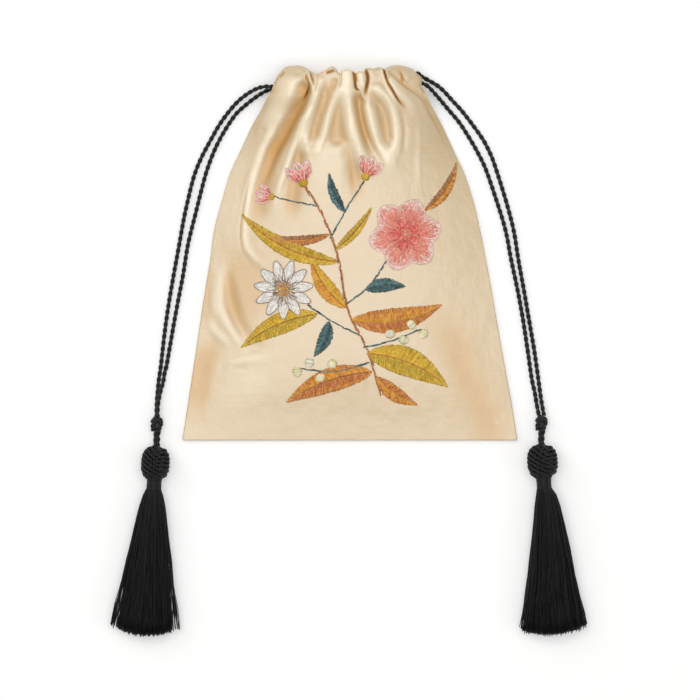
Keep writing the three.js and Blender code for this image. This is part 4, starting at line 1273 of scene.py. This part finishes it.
LEAVES = [
    ((11, -66), (64, -88), 5, 9.5, "mustard", "olive_gold", "rust"),
    ((1, -44), (60, -34), -5, 8.0, "ochre", "rust", "mustard"),
    ((14, -78), (-42, -98), -4, 8.0, "rust", "ochre", "brown"),
    ((-8, -6), (-72, 26), 7, 5.6, "mustard", "olive_gold", "rust"),
    ((49, 28), (70, 60), -4, 3.4, "brown", "ochre", "rust"),
    ((-3, -36), (-26, -4), 3, 5.8, "ochre", "mustard", "rust"),
    ((-14, 12), (-58, 12), 4, 3.2, "rust", "brown", "ochre"),
    ((-22, -40), (-72, -62), -4, 7.0, "olive_gold", "mustard", "brown"),
    ((10, -24), (36, -22), 2, 4.6, "teal", "dark_teal", "dark_teal"),
    ((-14, -45), (-24, -68), 2, 4.4, "dark_teal", "teal", "teal"),
    ((17, -82), (44, -100), -2, 5.0, "rust", "ochre", "mustard"),
    ((-4, 27), (-14, 52), 2, 3.2, "teal", "dark_teal", "dark_teal"),
    ((-10, 2), (14, 30), -2, 3.0, "olive_gold", "mustard", "brown"),
]
leaves = []
for leaf in LEAVES:
    leaves += satin_leaf(*leaf)
print("stitches in stems and leaves", len(stems), len(leaves))

# %% Blossoms and berries
WIDE_PETAL = ("coral", "coral", "salmon", "salmon", "blush")
blossoms = []
for turn in range(6):
    blossoms += petal((36, 12), 12 + 60 * turn, 24, 12.5, WIDE_PETAL, 0.75, "blush")
for turn in range(5):
    blossoms += petal((36, 12), 40 + 72 * turn, 13, 6.0, ("coral", "coral", "salmon"), 0.7, "salmon", 0.9)
blossoms += seeded_disc((36, 12), 4.0, ("straw", "mustard", "dark_teal"))
for turn in range(11):
    blossoms += petal((-44, -24), 8 + 32.7 * turn, 20, 4.4, ("taupe", "ivory", "ivory"), 0.6, "taupe")
blossoms += seeded_disc((-44, -24), 4.6, ("mustard", "ochre", "rust"))
for x, y, angle, size in ((-31, 46, 110, 15), (10, 50, 68, 14), (-52, 37, 165, 11)):
    for fan in (-32, 32, 0):
        blossoms += petal((x, y), angle + fan, size, 0.3 * size, ("coral", "salmon", "blush"), 0.6, "blush")
    blossoms += padded_dot((x, y), 0.2 * size, math.radians(angle), ("olive_gold", "mustard"))
for x, y in ((26, -53), (35, -57), (40, -47), (48, -53), (-12, -73), (-20, -82), (-27, -72), (-35, -78)):
    blossoms += padded_dot((x, y), 3.2, needle.uniform(0, 3), ("straw", "straw", "ivory"))
print("stitches in blossoms", len(blossoms))

# %% Stitch the motifs on the cloth
STITCH_THREAD = 0.31
STITCH_SHARES = np.array((0.0, 0.2, 0.8, 1.0))
STITCH_ARCH = np.array((-0.3, 1.0, 1.0, -0.3))


def sew(name, stitches, radius, finishes, numbers):
    """Threads over the front panel, one for each stitch, each with a tone of its own."""
    starts = np.array([stitch.start for stitch in stitches])
    stops = np.array([stitch.stop for stitch in stitches])
    lifts = np.array([stitch.lift for stitch in stitches])
    x = starts[:, :1] + (stops - starts)[:, :1] * STITCH_SHARES
    y = starts[:, 1:] + (stops - starts)[:, 1:] * STITCH_SHARES
    z = front_outside(x.ravel(), y.ravel()).reshape(x.shape) + lifts[:, None] * STITCH_ARCH
    points = np.stack([x, y, z], axis=2) * MM
    lines = list(zip(points, numbers))
    piece = strand_object(name, None, lines, radius * MM, 4, finishes)
    tones = np.repeat([needle.random() for _ in stitches], len(piece.data.vertices) // len(stitches))
    piece.data.attributes.new("tone", "FLOAT", "POINT").data.foreach_set("value", tones.astype(np.float32))


for name, stitches in (
    ("embroidered_stems", stems), ("embroidered_leaves", leaves), ("embroidered_blossoms", blossoms),
):
    sew(name, stitches, STITCH_THREAD, silk_finishes, [silk_number[stitch.silk] for stitch in stitches])

# %% [markdown]
# ## Sewing thread
#
# The edges of the side slits are overcast so that the cloth doesn't fray where the cords rub it. These are
# short plain threads, made as the embroidery is.

# %% Overcast slits
sewing_silk = Finish("sewing_silk", Specular_IOR_Level=0.5)
sewing_tone = sewing_silk.add("ShaderNodeAttribute", {"attribute_name": "tone"}).out("Fac")
sewing_silk.vary(Base_Color=sewing_silk.mix(sewing_tone, colour(196, 168, 122), colour(220, 198, 160)))
sewing_silk.vary(Roughness=0.4 + 0.2 * sewing_silk.noise(2600.0))
OVERCAST_THREAD = 0.24
OVERCAST_GAP = 0.8
OVERCAST_DEPTH = 1.9
seam_y = STITCH - HEIGHT / 2
overcast = []
for y in np.arange(seam_y + 2.5, seam_y + 15, OVERCAST_GAP):
    for edge, inwards in zip(edges_at(np.array(y)), (1, -1)):
        start = np.array((float(edge) + OVERCAST_DEPTH * inwards, y + jitter(0.2)))
        overcast.append(Stitch(start, np.array((float(edge) + 0.15 * inwards, y + 0.5)), "sewing", 0.2))
sew("slit_overcasting", overcast, OVERCAST_THREAD, [sewing_silk], [0] * len(overcast))
